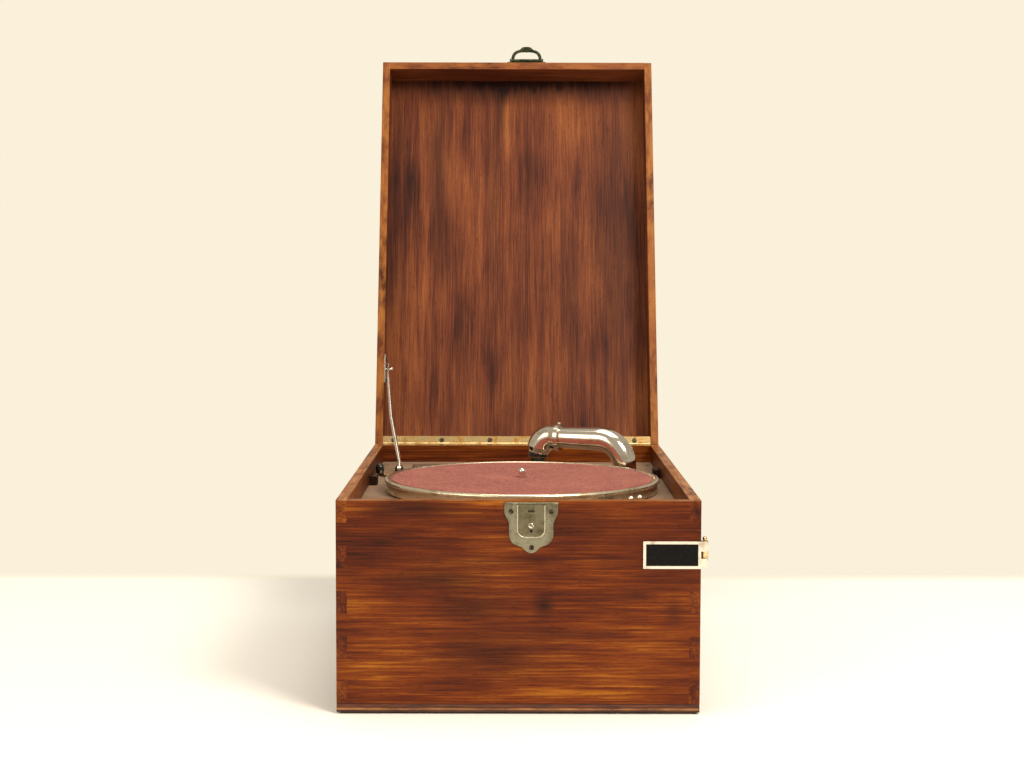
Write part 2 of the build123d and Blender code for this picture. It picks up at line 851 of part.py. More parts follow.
def spindle():
    """Spindle from its foot bearing up through the felt to a rounded tip."""
    shaft = rod_z(spin_x, spin_y, motor_foot + 1.0, plate_top, spindle_shaft_r)
    tip_z = felt_top + spindle_proud - spindle_r
    shaft = shaft + rod_z(spin_x, spin_y, plate_top, tip_z, spindle_r)
    return single(shaft + Pos(spin_x, spin_y, tip_z) * Sphere(spindle_r))


# Motor under the board
motor_x0, motor_x1 = -108.0, 62.0
motor_y0, motor_y1 = -80.0, 38.0
motor_head = board_low - motor_spacer
motor_roof = motor_head - motor_plate
motor_floor = motor_roof - motor_inside
motor_foot = motor_floor - motor_plate
plane_great = motor_floor + 33.0
plane_spin = motor_floor + 41.0
plane_governor = motor_floor + 5.0
gear_face = 3.6
crank_y = barrel_y
crank_z = motor_foot - winding_drop
crank_hole_r = 7.5


def gear(x, y, z, teeth, thickness, phase, bore):
    """Spur gear with straight-sided teeth; one tooth points along the phase angle."""
    pitch_r = gear_module * teeth / 2
    tip_r = pitch_r + 0.8 * gear_module
    root_r = pitch_r - 1.1 * gear_module
    step = 360.0 / teeth
    profile = [(-0.27, root_r), (-0.11, tip_r), (0.11, tip_r), (0.27, root_r)]
    points = []
    for i in range(teeth):
        for share, radius in profile:
            turn = math.radians(phase + (i + share) * step)
            points.append((radius * math.cos(turn), radius * math.sin(turn)))
    points.append(points[0])
    wheel = extrude(make_face(Polyline(*points).edges()), thickness)
    return Pos(x, y, z) * (wheel - Cylinder(bore, thickness * 3))


def centre_distance(teeth_a, teeth_b):
    """Distance between two gears in mesh."""
    return gear_module * (teeth_a + teeth_b) / 2


def intermediate_place():
    """Where the intermediate arbor stands, in mesh with the spindle and the barrel."""
    to_spindle = centre_distance(pinion_teeth, wheel_teeth)
    to_barrel = centre_distance(pinion_teeth, great_teeth)
    dx, dy = barrel_x - spin_x, barrel_y - spin_y
    span = math.hypot(dx, dy)
    along = (to_spindle ** 2 - to_barrel ** 2 + span ** 2) / (2 * span)
    off = math.sqrt(to_spindle ** 2 - along ** 2)
    ux, uy = dx / span, dy / span
    return spin_x + along * ux + off * uy, spin_y + along * uy - off * ux


mid_x, mid_y = intermediate_place()
governor_x = spin_x + centre_distance(wheel_teeth, pinion_teeth) * math.cos(math.radians(governor_angle))
governor_y = spin_y + centre_distance(wheel_teeth, pinion_teeth) * math.sin(math.radians(governor_angle))


def bearing(xa, ya, xb, yb):
    """Angle from one axis to another, in degrees."""
    return math.degrees(math.atan2(yb - ya, xb - xa))


def pillar_places():
    """The four pillars between the motor's plates."""
    return [(x, y) for x in (motor_x0 + 16, motor_x1 - 12) for y in (motor_y0 + 14, motor_y1 - 16)]


def motor_top_plate():
    """Upper plate with its bearings."""
    plate = block(motor_x0, motor_x1, motor_y0, motor_y1, motor_roof, motor_head)
    z0, z1 = motor_roof - 1, motor_head + 1
    plate = plate - rod_z(spin_x, spin_y, z0, z1, spindle_shaft_r + running_fit)
    plate = plate - rod_z(mid_x, mid_y, z0, z1, arbor_r + running_fit)
    plate = plate - rod_z(governor_x, governor_y, z0, z1, arbor_r + running_fit)
    plate = plate - rod_z(barrel_x, barrel_y, z0, z1, barrel_arbor_r)
    for x, y in motor_bolt_places():
        plate = plate - rod_z(x, y, z0, z1, 2.0)
    return single(plate)


def motor_bottom_plate():
    """Lower plate with blind bearings and the four pillars that carry it."""
    plate = block(motor_x0 + 8, motor_x1 - 4, motor_y0 + 8, motor_y1 - 8, motor_foot, motor_floor)
    plate = plate - rod_z(spin_x, spin_y, motor_foot + 1.0, motor_floor + 1, spindle_shaft_r + running_fit)
    plate = plate - rod_z(mid_x, mid_y, motor_foot + 1.0, motor_floor + 1, arbor_r + running_fit)
    plate = plate - rod_z(governor_x, governor_y, motor_foot + 1.0, motor_floor + 1, arbor_r + running_fit)
    plate = plate - rod_z(barrel_x, barrel_y, motor_foot - 1, motor_floor + 1, barrel_arbor_r)
    for x, y in pillar_places():
        plate = plate + rod_z(x, y, motor_floor, motor_roof, 4.0)
    return single(plate)


def motor_bolts():
    """Four bolts with collars and nuts that hang the motor under the board."""
    bolts = []
    for x, y in motor_bolt_places():
        bolt = rod_z(x, y, motor_roof - 5.0, board_top, 2.0) + rod_z(x, y, board_top, board_top + 1.6, 4.0)
        sleeve = rod_z(x, y, motor_head, board_low, 5.0)
        bolts.append(bolt + sleeve + rod_z(x, y, motor_roof - 3.2, motor_roof, 3.6))
    return joined(bolts)


def spindle_gears():
    """Pinion and wheel fixed on the spindle."""
    to_mid = bearing(spin_x, spin_y, mid_x, mid_y)
    to_governor = bearing(spin_x, spin_y, governor_x, governor_y)
    pinion = gear(spin_x, spin_y, plane_spin, pinion_teeth, gear_face, to_mid, spindle_shaft_r)
    wheel = gear(spin_x, spin_y, plane_governor, wheel_teeth, gear_face, to_governor, spindle_shaft_r)
    return joined([pinion, wheel])


def spring_barrel():
    """Drum for the mainspring with the great wheel on top, free on its arbor."""
    z0 = motor_floor + 2.0
    drum = rod_z(barrel_x, barrel_y, z0, plane_great, barrel_r)
    drum = drum - rod_z(barrel_x, barrel_y, z0 + 2.0, plane_great - 2.0, barrel_r - 2.0)
    bore = barrel_arbor_r + running_fit
    drum = drum - rod_z(barrel_x, barrel_y, z0 - 1, plane_great + 1, bore)
    phase = bearing(barrel_x, barrel_y, mid_x, mid_y)
    return single(drum + gear(barrel_x, barrel_y, plane_great, great_teeth, gear_face, phase, bore))


def intermediate_gear():
    """Arbor with a pinion for the barrel and a wheel for the spindle."""
    to_spindle = bearing(mid_x, mid_y, spin_x, spin_y) + 180.0 / wheel_teeth
    to_barrel = bearing(mid_x, mid_y, barrel_x, barrel_y) + 180.0 / pinion_teeth
    shape = rod_z(mid_x, mid_y, motor_foot + 1.2, motor_head, arbor_r)
    shape = shape + gear(mid_x, mid_y, plane_great, pinion_teeth, gear_face, to_barrel, arbor_r - 0.2)
    shape = shape + gear(mid_x, mid_y, plane_spin, wheel_teeth, gear_face, to_spindle, arbor_r - 0.2)
    return single(shape)


def governor():
    """Governor arbor with its pinion and friction disc, and its weights."""
    to_spindle = bearing(governor_x, governor_y, spin_x, spin_y) + 180.0 / pinion_teeth
    shape = rod_z(governor_x, governor_y, motor_foot + 1.2, motor_head, arbor_r)
    shape = shape + gear(governor_x, governor_y, plane_governor, pinion_teeth, gear_face,
                         to_spindle, arbor_r - 0.2)
    shape = shape + rod_z(governor_x, governor_y, motor_floor + 36.0, motor_floor + 37.6, 12.0)
    return joined([shape, governor_weights()])


def governor_weights():
    """Three weights on flat springs between two collars."""
    low, high = motor_floor + 13.0, motor_floor + 33.0
    middle = (low + high) / 2
    shape = rod_z(0, 0, low - 1.5, low + 1.5, 5.0) + rod_z(0, 0, high - 1.5, high + 1.5, 5.0)
    for i in range(3):
        turn = math.radians(120.0 * i)
        cx, cy = math.cos(turn), math.sin(turn)
        for z in (low, high):
            shape = shape + rod_between((4.0 * cx, 4.0 * cy, z), (9.5 * cx, 9.5 * cy, middle), 0.7)
        shape = shape + Pos(10.5 * cx, 10.5 * cy, middle) * Sphere(4.0)
    shape = Pos(governor_x, governor_y, 0) * shape
    return single(shape - rod_z(governor_x, governor_y, motor_floor, motor_roof, arbor_r))


def winding_case():
    """Cast housing of the winding gears under the motor, with the arbor that the drum turns on."""
    low = crank_z - winding_r - 6.0
    box = block(barrel_x - 16.0, barrel_x + 30.0, barrel_y - 14.0, barrel_y + 14.0, low, motor_foot)
    box = box + rod_z(barrel_x, barrel_y, motor_foot - 1.0, motor_head, barrel_arbor_r)
    return single(box - rod_x(barrel_x + 8.0, barrel_x + 31.0, crank_y, crank_z, winding_r + running_fit))


def winding_shaft():
    """Shaft from the winding gears to the right wall, with a socket for the crank."""
    shaft = rod_x(barrel_x + 8.5, right - 0.5, crank_y, crank_z, winding_r)
    return single(shaft - rod_x(right - 16.0, right, crank_y, crank_z, 3.2))


def winding_screw_places():
    """Y places of the two screws of the escutcheon."""
    return [crank_y - 13.5, crank_y + 13.5]


def winding_escutcheon():
    """Plate on the right wall with the tube that carries the winding shaft."""
    shape = rod_x(right, right + 1.2, crank_y, crank_z, 19.0) + rod_x(right - case_wall, right, crank_y, crank_z,
                                                                     crank_hole_r)
    shape = shape - rod_x(right - case_wall - 1, right + 2, crank_y, crank_z, winding_r + running_fit)
    for y in winding_screw_places():
        shape = shape - rod_x(right - 1, right + 2, y, crank_z, 1.0)
    return single(shape)


def winding_screws():
    """Two screws of the escutcheon."""
    screws = []
    for y in winding_screw_places():
        screw = rod_x(right - 6.5, right + 1.2, y, crank_z, 1.0)
        screws.append(screw + rod_x(right + 1.2, right + 2.1, y, crank_z, 2.1))
    return joined(screws)


# Tone arm
arm_turn = math.radians(arm_angle)
arm_ux, arm_uy = math.cos(arm_turn), math.sin(arm_turn)


def arm_point(s, z):
    """Point at a distance along the arm from its pivot, at a height."""
    return (arm_x + arm_ux * s, arm_y + arm_uy * s, z)


def arm_bend(s, z, radius, bend_r, turn, rising):
    """Part of a ring in the arm's upright plane, either rising into the arm or dropping out of it."""
    centre_z = z if rising else z - bend_r
    centre_s = s + bend_r if rising else s
    side = (-arm_uy, arm_ux, 0)
    if rising:
        circle = Plane(origin=arm_point(s, z), x_dir=(arm_ux, arm_uy, 0)) * Circle(radius)
    else:
        circle = Plane(origin=arm_point(s, z), x_dir=side, z_dir=(arm_ux, arm_uy, 0)) * Circle(radius)
    axis = Axis(arm_point(centre_s, centre_z), side)
    return revolve(circle, axis, turn)


def arm_solid(shrink):
    """The arm's outer shape, or with the wall as shrink its bore."""
    low = arm_axis_z - arm_sweep
    foot = board_top - arm_below_board - (1.0 if shrink else 0.0)
    seat = board_top + flange_height
    shape = rod_z(arm_x, arm_y, foot, seat, arm_foot_r - shrink)
    shape = shape + rod_between((arm_x, arm_y, seat), (arm_x, arm_y, low),
                                arm_foot_r - shrink, arm_bend_r - shrink)
    shape = shape + arm_bend(0.0, low, arm_bend_r - shrink, arm_sweep, 90.0, True)
    shape = shape + rod_between(arm_point(arm_sweep, arm_axis_z), arm_point(arm_taper_end, arm_axis_z),
                                arm_bend_r - shrink, arm_tip_r - shrink)
    end = arm_reach + (1.0 if shrink else 0.0)
    return shape + rod_between(arm_point(arm_taper_end, arm_axis_z), arm_point(end, arm_axis_z),
                               arm_tip_r - shrink)


def tonearm_tube():
    """Bent, tapering tube from the horn's throat to the gooseneck, with a ring clipped on its foot."""
    z1 = board_top - arm_below_board + 3.0
    retainer = rod_z(arm_x, arm_y, z1 - 1.4, z1, arm_foot_r + 1.9)
    return single(arm_solid(0.0) + retainer - arm_solid(arm_wall))


def arm_screw_places():
    """Three screws round the arm's flange."""
    ring_r = (flange_r + arm_foot_r) / 2 + 0.2
    places = []
    for turn in (30.0, 150.0, 270.0):
        t = math.radians(turn)
        places.append((arm_x + ring_r * math.cos(t), arm_y + ring_r * math.sin(t)))
    return places


def arm_flange():
    """Flange on the board with the bush that the arm turns in."""
    z0 = board_low - 4.0
    shape = rod_z(arm_x, arm_y, board_top, board_top + flange_height, flange_r)
    shape = shape + rod_z(arm_x, arm_y, z0, board_top, arm_foot_r + running_fit + bush_wall)
    edge = shape.edges().filter_by(GeomType.CIRCLE).group_by(Axis.Z)[-1]
    shape = fillet(edge, 1.2)
    shape = shape - rod_z(arm_x, arm_y, z0 - 1, board_top + 10, arm_foot_r + running_fit)
    for x, y in arm_screw_places():
        shape = shape - rod_z(x, y, board_top - 1, board_top + 10, 0.9)
    return single(shape)


def arm_screws():
    """Three screws of the flange."""
    screws = []
    for x, y in arm_screw_places():
        screws.append(rod_z(x, y, board_top - 5.0, board_top + flange_height, 0.9)
                      + rod_z(x, y, board_top + flange_height, board_top + flange_height + 0.8, 1.6))
    return joined(screws)


elbow_dip = math.radians(elbow_turn)
leg_dir = (arm_ux * math.cos(elbow_dip), arm_uy * math.cos(elbow_dip), -math.sin(elbow_dip))
leg_s = elbow_bend_start + elbow_bend_r * math.sin(elbow_dip)
leg_z = arm_axis_z - elbow_bend_r * (1 - math.cos(elbow_dip))


def leg_point(along):
    """Point on the gooseneck's leg at a distance past its bend."""
    x, y, z = arm_point(leg_s, leg_z)
    return (x + leg_dir[0] * along, y + leg_dir[1] * along, z + leg_dir[2] * along)


def elbow_outside():
    """Outer shape of the elbow and its leg."""
    z = arm_axis_z
    shape = rod_between(arm_point(elbow_start, z), arm_point(elbow_start + 4.0, z), elbow_collar_r)
    shape = shape + rod_between(arm_point(elbow_start + 4.0, z), arm_point(elbow_bend_start, z),
                                elbow_collar_r - 0.4, elbow_belly_r)
    shape = shape + arm_bend(elbow_bend_start, z, elbow_belly_r, elbow_bend_r, elbow_turn, False)
    shape = shape + rod_between(leg_point(0), leg_point(elbow_cone), elbow_belly_r, elbow_leg_r)
    return shape + rod_between(leg_point(elbow_cone), leg_point(elbow_cone + bush_length + 3.0), elbow_leg_r)


def elbow_inside():
    """Socket for the arm's tip and the bore that goes on from it."""
    z = arm_axis_z
    shape = rod_between(arm_point(elbow_start - 1, z), arm_point(arm_reach + 0.6, z), arm_tip_r + running_fit)
    shape = shape + arm_bend(elbow_bend_start, z, elbow_bore_r, elbow_bend_r, elbow_turn, False)
    return shape + rod_between(leg_point(0), leg_point(elbow_cone + bush_length + 5.0), elbow_bore_r)


def elbow_whole():
    """Elbow and leg in one, hollow, with the leg's end rounded about the arm's axis."""
    z = arm_axis_z
    rounding = rod_between(arm_point(elbow_start - 5, z), arm_point(elbow_start + 60, z), elbow_end_r)
    return (elbow_outside() - elbow_inside()) & rounding


def bush_block():
    """The space of the bush at the leg's end."""
    return rod_between(leg_point(elbow_cone + 1.0), leg_point(elbow_cone + bush_length + 8.0),
                       elbow_leg_r + 6.0)


def gooseneck_elbow():
    """Nickel elbow that swivels on the arm's tip, with its set screw."""
    elbow = elbow_whole() - bush_block()
    x, y, z = arm_point(elbow_start + 2.0, arm_axis_z + elbow_collar_r)
    screw = rod_z(x, y, z - 1.4, z + 0.9, 1.6)
    return single(elbow + screw)


def gooseneck_bush():
    """Black bush at the gooseneck's end."""
    return single(elbow_whole() & bush_block())


rest_x = arm_x - 85.0
rest_y = arm_y + 33.0
rest_top = board_top + 14.2


def rest_post():
    """Post with a broad cap that the gooseneck rests over."""
    shape = rod_z(rest_x, rest_y, board_top, board_top + 2.0, 9.0)
    shape = shape + rod_z(rest_x, rest_y, board_top - 5.0, board_top, 1.5)
    shape = shape + rod_z(rest_x, rest_y, board_top + 2.0, rest_top - 3.4, 6.0)
    return single(shape + rod_z(rest_x, rest_y, rest_top - 3.4, rest_top, 7.4))


# Horn
def horn_solid(inset):
    """Widening horn from the arm's throat to the sound opening; all of it lies under the board."""
    top = board_low - inset
    stations = [(arm_x + 18.0 - inset, 290.0, 334.0, 121.0),
                (mouth_right - 2.0, 322.0, 420.5, 80.0),
                (left + case_wall + batten_width + 1.0 + inset, 326.0, 420.5, 44.0)]
    sections = []
    for x, y0, y1, z0 in stations:
        a, b = front + y0 + inset, front + y1 - inset
        ring = Polyline((x, a, z0 + inset), (x, b, z0 + inset), (x, b, top), (x, a, top), (x, a, z0 + inset))
        sections.append(make_face(ring.edges()))
    return loft(sections[:2], ruled=True) + loft(sections[1:], ruled=True)


def horn_body():
    """Sheet horn under the board, open at the throat and at the mouth."""
    horn = horn_solid(0.0) - horn_solid(horn_sheet)
    horn = horn - block(mouth_left, mouth_right, front + mouth_front, front + mouth_back,
                        board_low - 5, board_low + 1)
    throat = rod_z(arm_x, arm_y, board_low - 5.0, board_low + 1, arm_foot_r + running_fit + bush_wall)
    return single(horn - throat)


# Sound box
def soundbox_body():
    """Back shell with its neck and the ledge for the gaskets."""
    x, y, z = soundbox_x, soundbox_y, board_top
    shape = rod_z(x, y, z, z + 6.6, soundbox_r) + rod_z(x, y, z - soundbox_neck, z, soundbox_neck_r)
    shape = shape - rod_z(x, y, z - soundbox_neck - 1, z + 3.0, soundbox_neck_r - 1.6)
    shape = shape - rod_z(x, y, z + 1.8, z + 8.0, diaphragm_r - 2.2)
    return single(shape - rod_z(x, y, z + 4.2, z + 8.0, diaphragm_r + 1.0))


def ring(x, y, z0, z1, outer, inner):
    """Flat ring."""
    return rod_z(x, y, z0, z1, outer) - rod_z(x, y, z0 - 1, z1 + 1, inner)


def soundbox_gaskets():
    """Two rubber rings that hold the diaphragm."""
    x, y, z = soundbox_x, soundbox_y, board_top + 4.2
    low = ring(x, y, z, z + 1.2, diaphragm_r + 0.8, diaphragm_r - 2.0)
    high = ring(x, y, z + 1.2 + diaphragm_thickness, z + 2.4 + diaphragm_thickness,
                diaphragm_r + 0.8, diaphragm_r - 2.0)
    return joined([low, high])


def soundbox_diaphragm():
    """Thin mica disc."""
    z = board_top + 5.4
    return single(rod_z(soundbox_x, soundbox_y, z, z + diaphragm_thickness, diaphragm_r))


def soundbox_bezel():
    """Front ring of the sound box."""
    x, y, z = soundbox_x, soundbox_y, board_top
    shape = ring(x, y, z + 6.6, z + soundbox_height, soundbox_r, diaphragm_r - 2.2)
    return single(shape - rod_z(x, y, z + 6.0, z + 7.2, diaphragm_r + 1.0))


def needle_bar():
    """Stylus bar from the diaphragm's middle to the needle socket at the rim."""
    x, y, z = soundbox_x, soundbox_y, board_top + soundbox_height + 1.2
    shape = rod_x(x - 0.8, x + soundbox_r + 2.0, y, z, 0.8)
    shape = shape + rod_z(x, y, board_top + 5.4 + diaphragm_thickness, z, 0.8)
    shape = shape + block(x + soundbox_r, x + soundbox_r + 3.0, y - 4.5, y + 4.5, z - 4.2, z - 0.4)
    shape = shape + rod_x(x + soundbox_r + 0.5, x + soundbox_r + 8.5, y, z - 0.9, 1.9)
    shape = shape - rod_x(x + soundbox_r + 3.0, x + soundbox_r + 9.0, y, z - 0.9, 0.7)
    return joined([shape, needle_screw()])


def needle_screw():
    """Thumb screw that clamps the needle."""
    x, z = soundbox_x + soundbox_r + 6.0, board_top + soundbox_height + 0.3
    return single(rod_y(x, soundbox_y + 1.9, soundbox_y + 4.0, z, 0.8)
                  + rod_y(x, soundbox_y + 3.4, soundbox_y + 6.6, z, 1.8))


def needle():
    """Steel needle with a ground point."""
    x, z = soundbox_x + soundbox_r + 3.4, board_top + soundbox_height + 0.3
    shank = rod_x(x, x + 14.0, soundbox_y, z, 0.7)
    return single(shank + rod_between((x + 14.0, soundbox_y, z), (x + 17.0, soundbox_y, z), 0.7, 0.15))


# Brake
brake_x = left + 27.0
brake_y = front + 289.0
brake_pad_angle = 150.0
brake_off = 1.6
brake_pad_r = skirt_r + brake_off + 2.5
knob_x = left + 14.3
knob_y = front + 310.0
lever_low = board_top + 1.2
lever_t = 1.4


def bar_between(ax, ay, bx, by, z0, z1, half):
    """Flat bar with square ends between two points."""
    length = math.hypot(bx - ax, by - ay)
    turn = math.degrees(math.atan2(by - ay, bx - ax))
    return Pos((ax + bx) / 2, (ay + by) / 2, (z0 + z1) / 2) * Rot(0, 0, turn) * Box(length, 2 * half, z1 - z0)


def brake_pivot():
    """Washer and pin that the brake lever turns on."""
    shape = rod_z(brake_x, brake_y, board_top, lever_low - 0.05, 5.0)
    shape = shape + rod_z(brake_x, brake_y, board_top - 5.0, lever_low + lever_t + 0.1, 1.5)
    return single(shape + rod_z(brake_x, brake_y, lever_low + lever_t + 0.05, lever_low + lever_t + 1.3, 3.0))


def pad_place():
    """Middle of the leather pad."""
    t = math.radians(brake_pad_angle)
    return spin_x + brake_pad_r * math.cos(t), spin_y + brake_pad_r * math.sin(t)


def brake_lever():
    """Flat lever from the knob past its pivot to the pad."""
    px, py = pad_place()
    z0, z1 = lever_low, lever_low + lever_t
    shape = bar_between(brake_x, brake_y, px, py, z0, z1, 2.4) + rod_z(px, py, z0, z1, 2.4)
    shape = shape + bar_between(brake_x, brake_y, knob_x, knob_y, z0, z1, 2.8)
    shape = shape + rod_z(brake_x, brake_y, z0, z1, 5.0) + rod_z(knob_x, knob_y, z0, z1, 3.6)
    return single(shape - rod_z(brake_x, brake_y, z0 - 1, z1 + 1, 1.5 + running_fit))


def brake_pad():
    """Leather block that stands off the platter's skirt when the brake is off."""
    px, py = pad_place()
    block_z = lever_low + lever_t + 2.4
    return single(Pos(px, py, block_z) * Rot(0, 0, brake_pad_angle) * Box(5.0, 9.0, 4.8))


def brake_knob():
    """Black egg-shaped knob."""
    z0 = lever_low + lever_t
    low, high = 3.4, 4.3
    shape = Pos(knob_x, knob_y, z0 + 1.4) * Cone(low, high, 2.8)
    shape = shape + rod_z(knob_x, knob_y, z0 + 2.8, z0 + 5.2, high)
    dome = Pos(knob_x, knob_y, z0 + 5.2) * Sphere(high)
    return single(shape + (dome & block(knob_x - 6, knob_x + 6, knob_y - 6, knob_y + 6, z0 + 5.0, z0 + 12)))


# Speed regulator
speed_x = right - 52.0
speed_y = front + 88.0
speed_ball_x = speed_x + 7.0
speed_ball_y = front + 79.5
speed_base_h = 5.2


def speed_base():
    """Black round base with a bore for the regulator's shaft."""
    shape = Pos(speed_x, speed_y, board_top + speed_base_h / 2) * Cone(12.0, 9.5, speed_base_h)
    return single(shape - rod_z(speed_x, speed_y, board_top - 1, board_top + 10, 3.0 + running_fit))


def speed_lever():
    """Regulator lever with its shaft, a domed hub and a ball end."""
    z0 = board_top + speed_base_h + 0.1
    shape = rod_z(speed_x, speed_y, board_low - 8.0, z0, 3.0) + rod_z(speed_x, speed_y, z0, z0 + 2.0, 3.4)
    shape = shape + Pos(speed_x, speed_y, z0 + 2.0) * Sphere(2.7)
    shape = shape + bar_between(speed_x, speed_y, speed_ball_x, speed_ball_y, z0, z0 + 1.4, 1.6)
    shape = shape + rod_z(speed_ball_x, speed_ball_y, z0, z0 + 2.4, 1.3)
    return single(shape + Pos(speed_ball_x, speed_ball_y, z0 + 4.2) * Sphere(2.7))


# Clips for the crank at the sides of the board
def clip_places():
    """Screw places of the two clips."""
    return [(right - case_wall - 4.4, front + 296.0), (left + case_wall + 4.4, front + 240.0)]


def crank_clips():
    """Two spring clips bent from strip."""
    clips = []
    for x, y in clip_places():
        clip = block(x - 3.6, x + 3.6, y - 7.0, y + 7.0, board_top, board_top + 0.9)
        for side in (-1, 1):
            y0 = y + side * 7.0
            y1 = y + side * 6.1
            clip = clip + block(x - 3.6, x + 3.6, min(y0, y1), max(y0, y1), board_top, board_top + 8.4)
            clip = clip + rod_x(x - 3.6, x + 3.6, y + side * 6.3, board_top + 8.4, 1.1)
        clips.append(clip - rod_z(x, y, board_top - 1, board_top + 2, 1.0))
    return joined(clips)


def clip_screws():
    """Screws of the clips."""
    screws = []
    for x, y in clip_places():
        screws.append(rod_z(x, y, board_top - 5.0, board_top + 0.9, 1.0)
                      + rod_z(x, y, board_top + 0.9, board_top + 1.9, 2.1))
    return joined(screws)


# Needle tray
knuckle_mid_low = tray_low + 8.8
knuckle_mid_high = knuckle_mid_low + 5.4
tray_bracket_y = front + 18.0


def tray_bracket_screws():
    """Heights of the two screws of the tray's bracket."""
    middle = (knuckle_mid_low + knuckle_mid_high) / 2
    return [middle - 4.6, middle + 4.6]


def tray_hinge():
    """Bracket on the right wall with its knuckle and the pin."""
    px, py = hinge_pin_x(), hinge_pin_y()
    middle = (knuckle_mid_low + knuckle_mid_high) / 2
    shape = block(right, right + 1.2, front + 9.0, front + 24.0, middle - 7.6, middle + 7.6)
    shape = shape + block(right + 0.3, right + 1.9, py, front + 10.0, knuckle_mid_low, knuckle_mid_high)
    shape = shape + block(right + 0.3, right + 1.2, front + 8.0, front + 10.0,
                          knuckle_mid_low, knuckle_mid_high)
    shape = shape + rod_z(px, py, knuckle_mid_low, knuckle_mid_high, tray_knuckle_r)
    shape = shape + rod_z(px, py, tray_low + 1.0, tray_high + 1.2, 1.1)
    shape = shape + Pos(px, py, tray_high + 1.6) * Sphere(1.9)
    for z in tray_bracket_screws():
        shape = shape - rod_x(right - 1, right + 3, tray_bracket_y, z, 1.0)
    return single(shape)


def tray_screws():
    """Two screws of the tray's bracket."""
    screws = []
    for z in tray_bracket_screws():
        screw = rod_x(right - 6.5, right + 1.2, tray_bracket_y, z, 1.0)
        screws.append(screw + rod_x(right + 1.2, right + 2.1, tray_bracket_y, z, 2.1))
    return joined(screws)


def tray_front():
    """Nickel frame of the tray's front with its straps and knuckles."""
    px, py = hinge_pin_x(), hinge_pin_y()
    face = front - tray_plate
    shape = block(tray_left, right, face, front, tray_low, tray_high)
    shape = shape - block(tray_left + tray_frame, right - tray_frame, face - 1, front - 0.5,
                          tray_low + tray_frame, tray_high - tray_frame)
    for z0, z1 in ((tray_low + 1.2, knuckle_mid_low - 0.2), (knuckle_mid_high + 0.2, tray_high - 0.1)):
        shape = shape + block(right - 0.5, px + 1.0, face, front - 0.2, z0, z1)
        shape = shape + block(px - 1.6, px + 1.6, face + 0.2, py, z0, z1)
        shape = shape + rod_z(px, py, z0, z1, tray_knuckle_r)
    return single(shape - rod_z(px, py, tray_low - 5, tray_high + 5, 1.1 + running_fit))


def tray_panel():
    """Black panel in the tray's frame."""
    return single(block(tray_left + tray_frame, right - tray_frame, front - tray_plate + 0.3, front - 0.5,
                        tray_low + tray_frame, tray_high - tray_frame))


def tray_shape(inset, z0, z1):
    """Sector about the pin, less its inner corner and what would lie behind its end line."""
    px, py = hinge_pin_x(), hinge_pin_y()
    sector = rod_z(px, py, z0, z1, tray_outer_r() - inset)
    sector = sector - rod_z(px, py, z0 - 1, z1 + 1, tray_inner_r + inset)
    sector = sector & block(px - 60, right - case_wall - 0.6 - inset, front + inset, front + 60, z0, z1)
    plane = Pos(px, py, (z0 + z1) / 2) * Rot(0, 0, 135.0)
    return sector & (plane * Pos(40, 40 + inset, 0) * Box(90, 80, z1 - z0 + 2))


def tray_box():
    """Sheet-metal needle box behind the front, open on top, with one partition."""
    z0, z1 = tray_low + tray_overlap + tray_clear, tray_high - tray_overlap - tray_clear
    shape = tray_shape(0.0, z0, z1) - tray_shape(tray_sheet, z0 + tray_sheet, z1 + 2)
    middle = tray_left + 22.0
    wall = block(middle - 0.4, middle + 0.4, front, front + 60, z0 + 0.2, z1 - 3.0)
    return single(shape + (wall & tray_shape(0.2, z0, z1)))


def case_screws():
    """Every screw and pin that is driven into the case or its board."""
    groups = [board_screws(), hinge_screws_case(), lock_screws(), winding_screws(), tray_screws(),
              clip_screws(), stay_foot_screws(), arm_screws(), brake_pivot()]
    return joined(groups)


def lid_screws():
    """Every screw of the lid's fittings."""
    return joined([hinge_screws_lid(), hasp_screws(), stay_bracket_screws()])


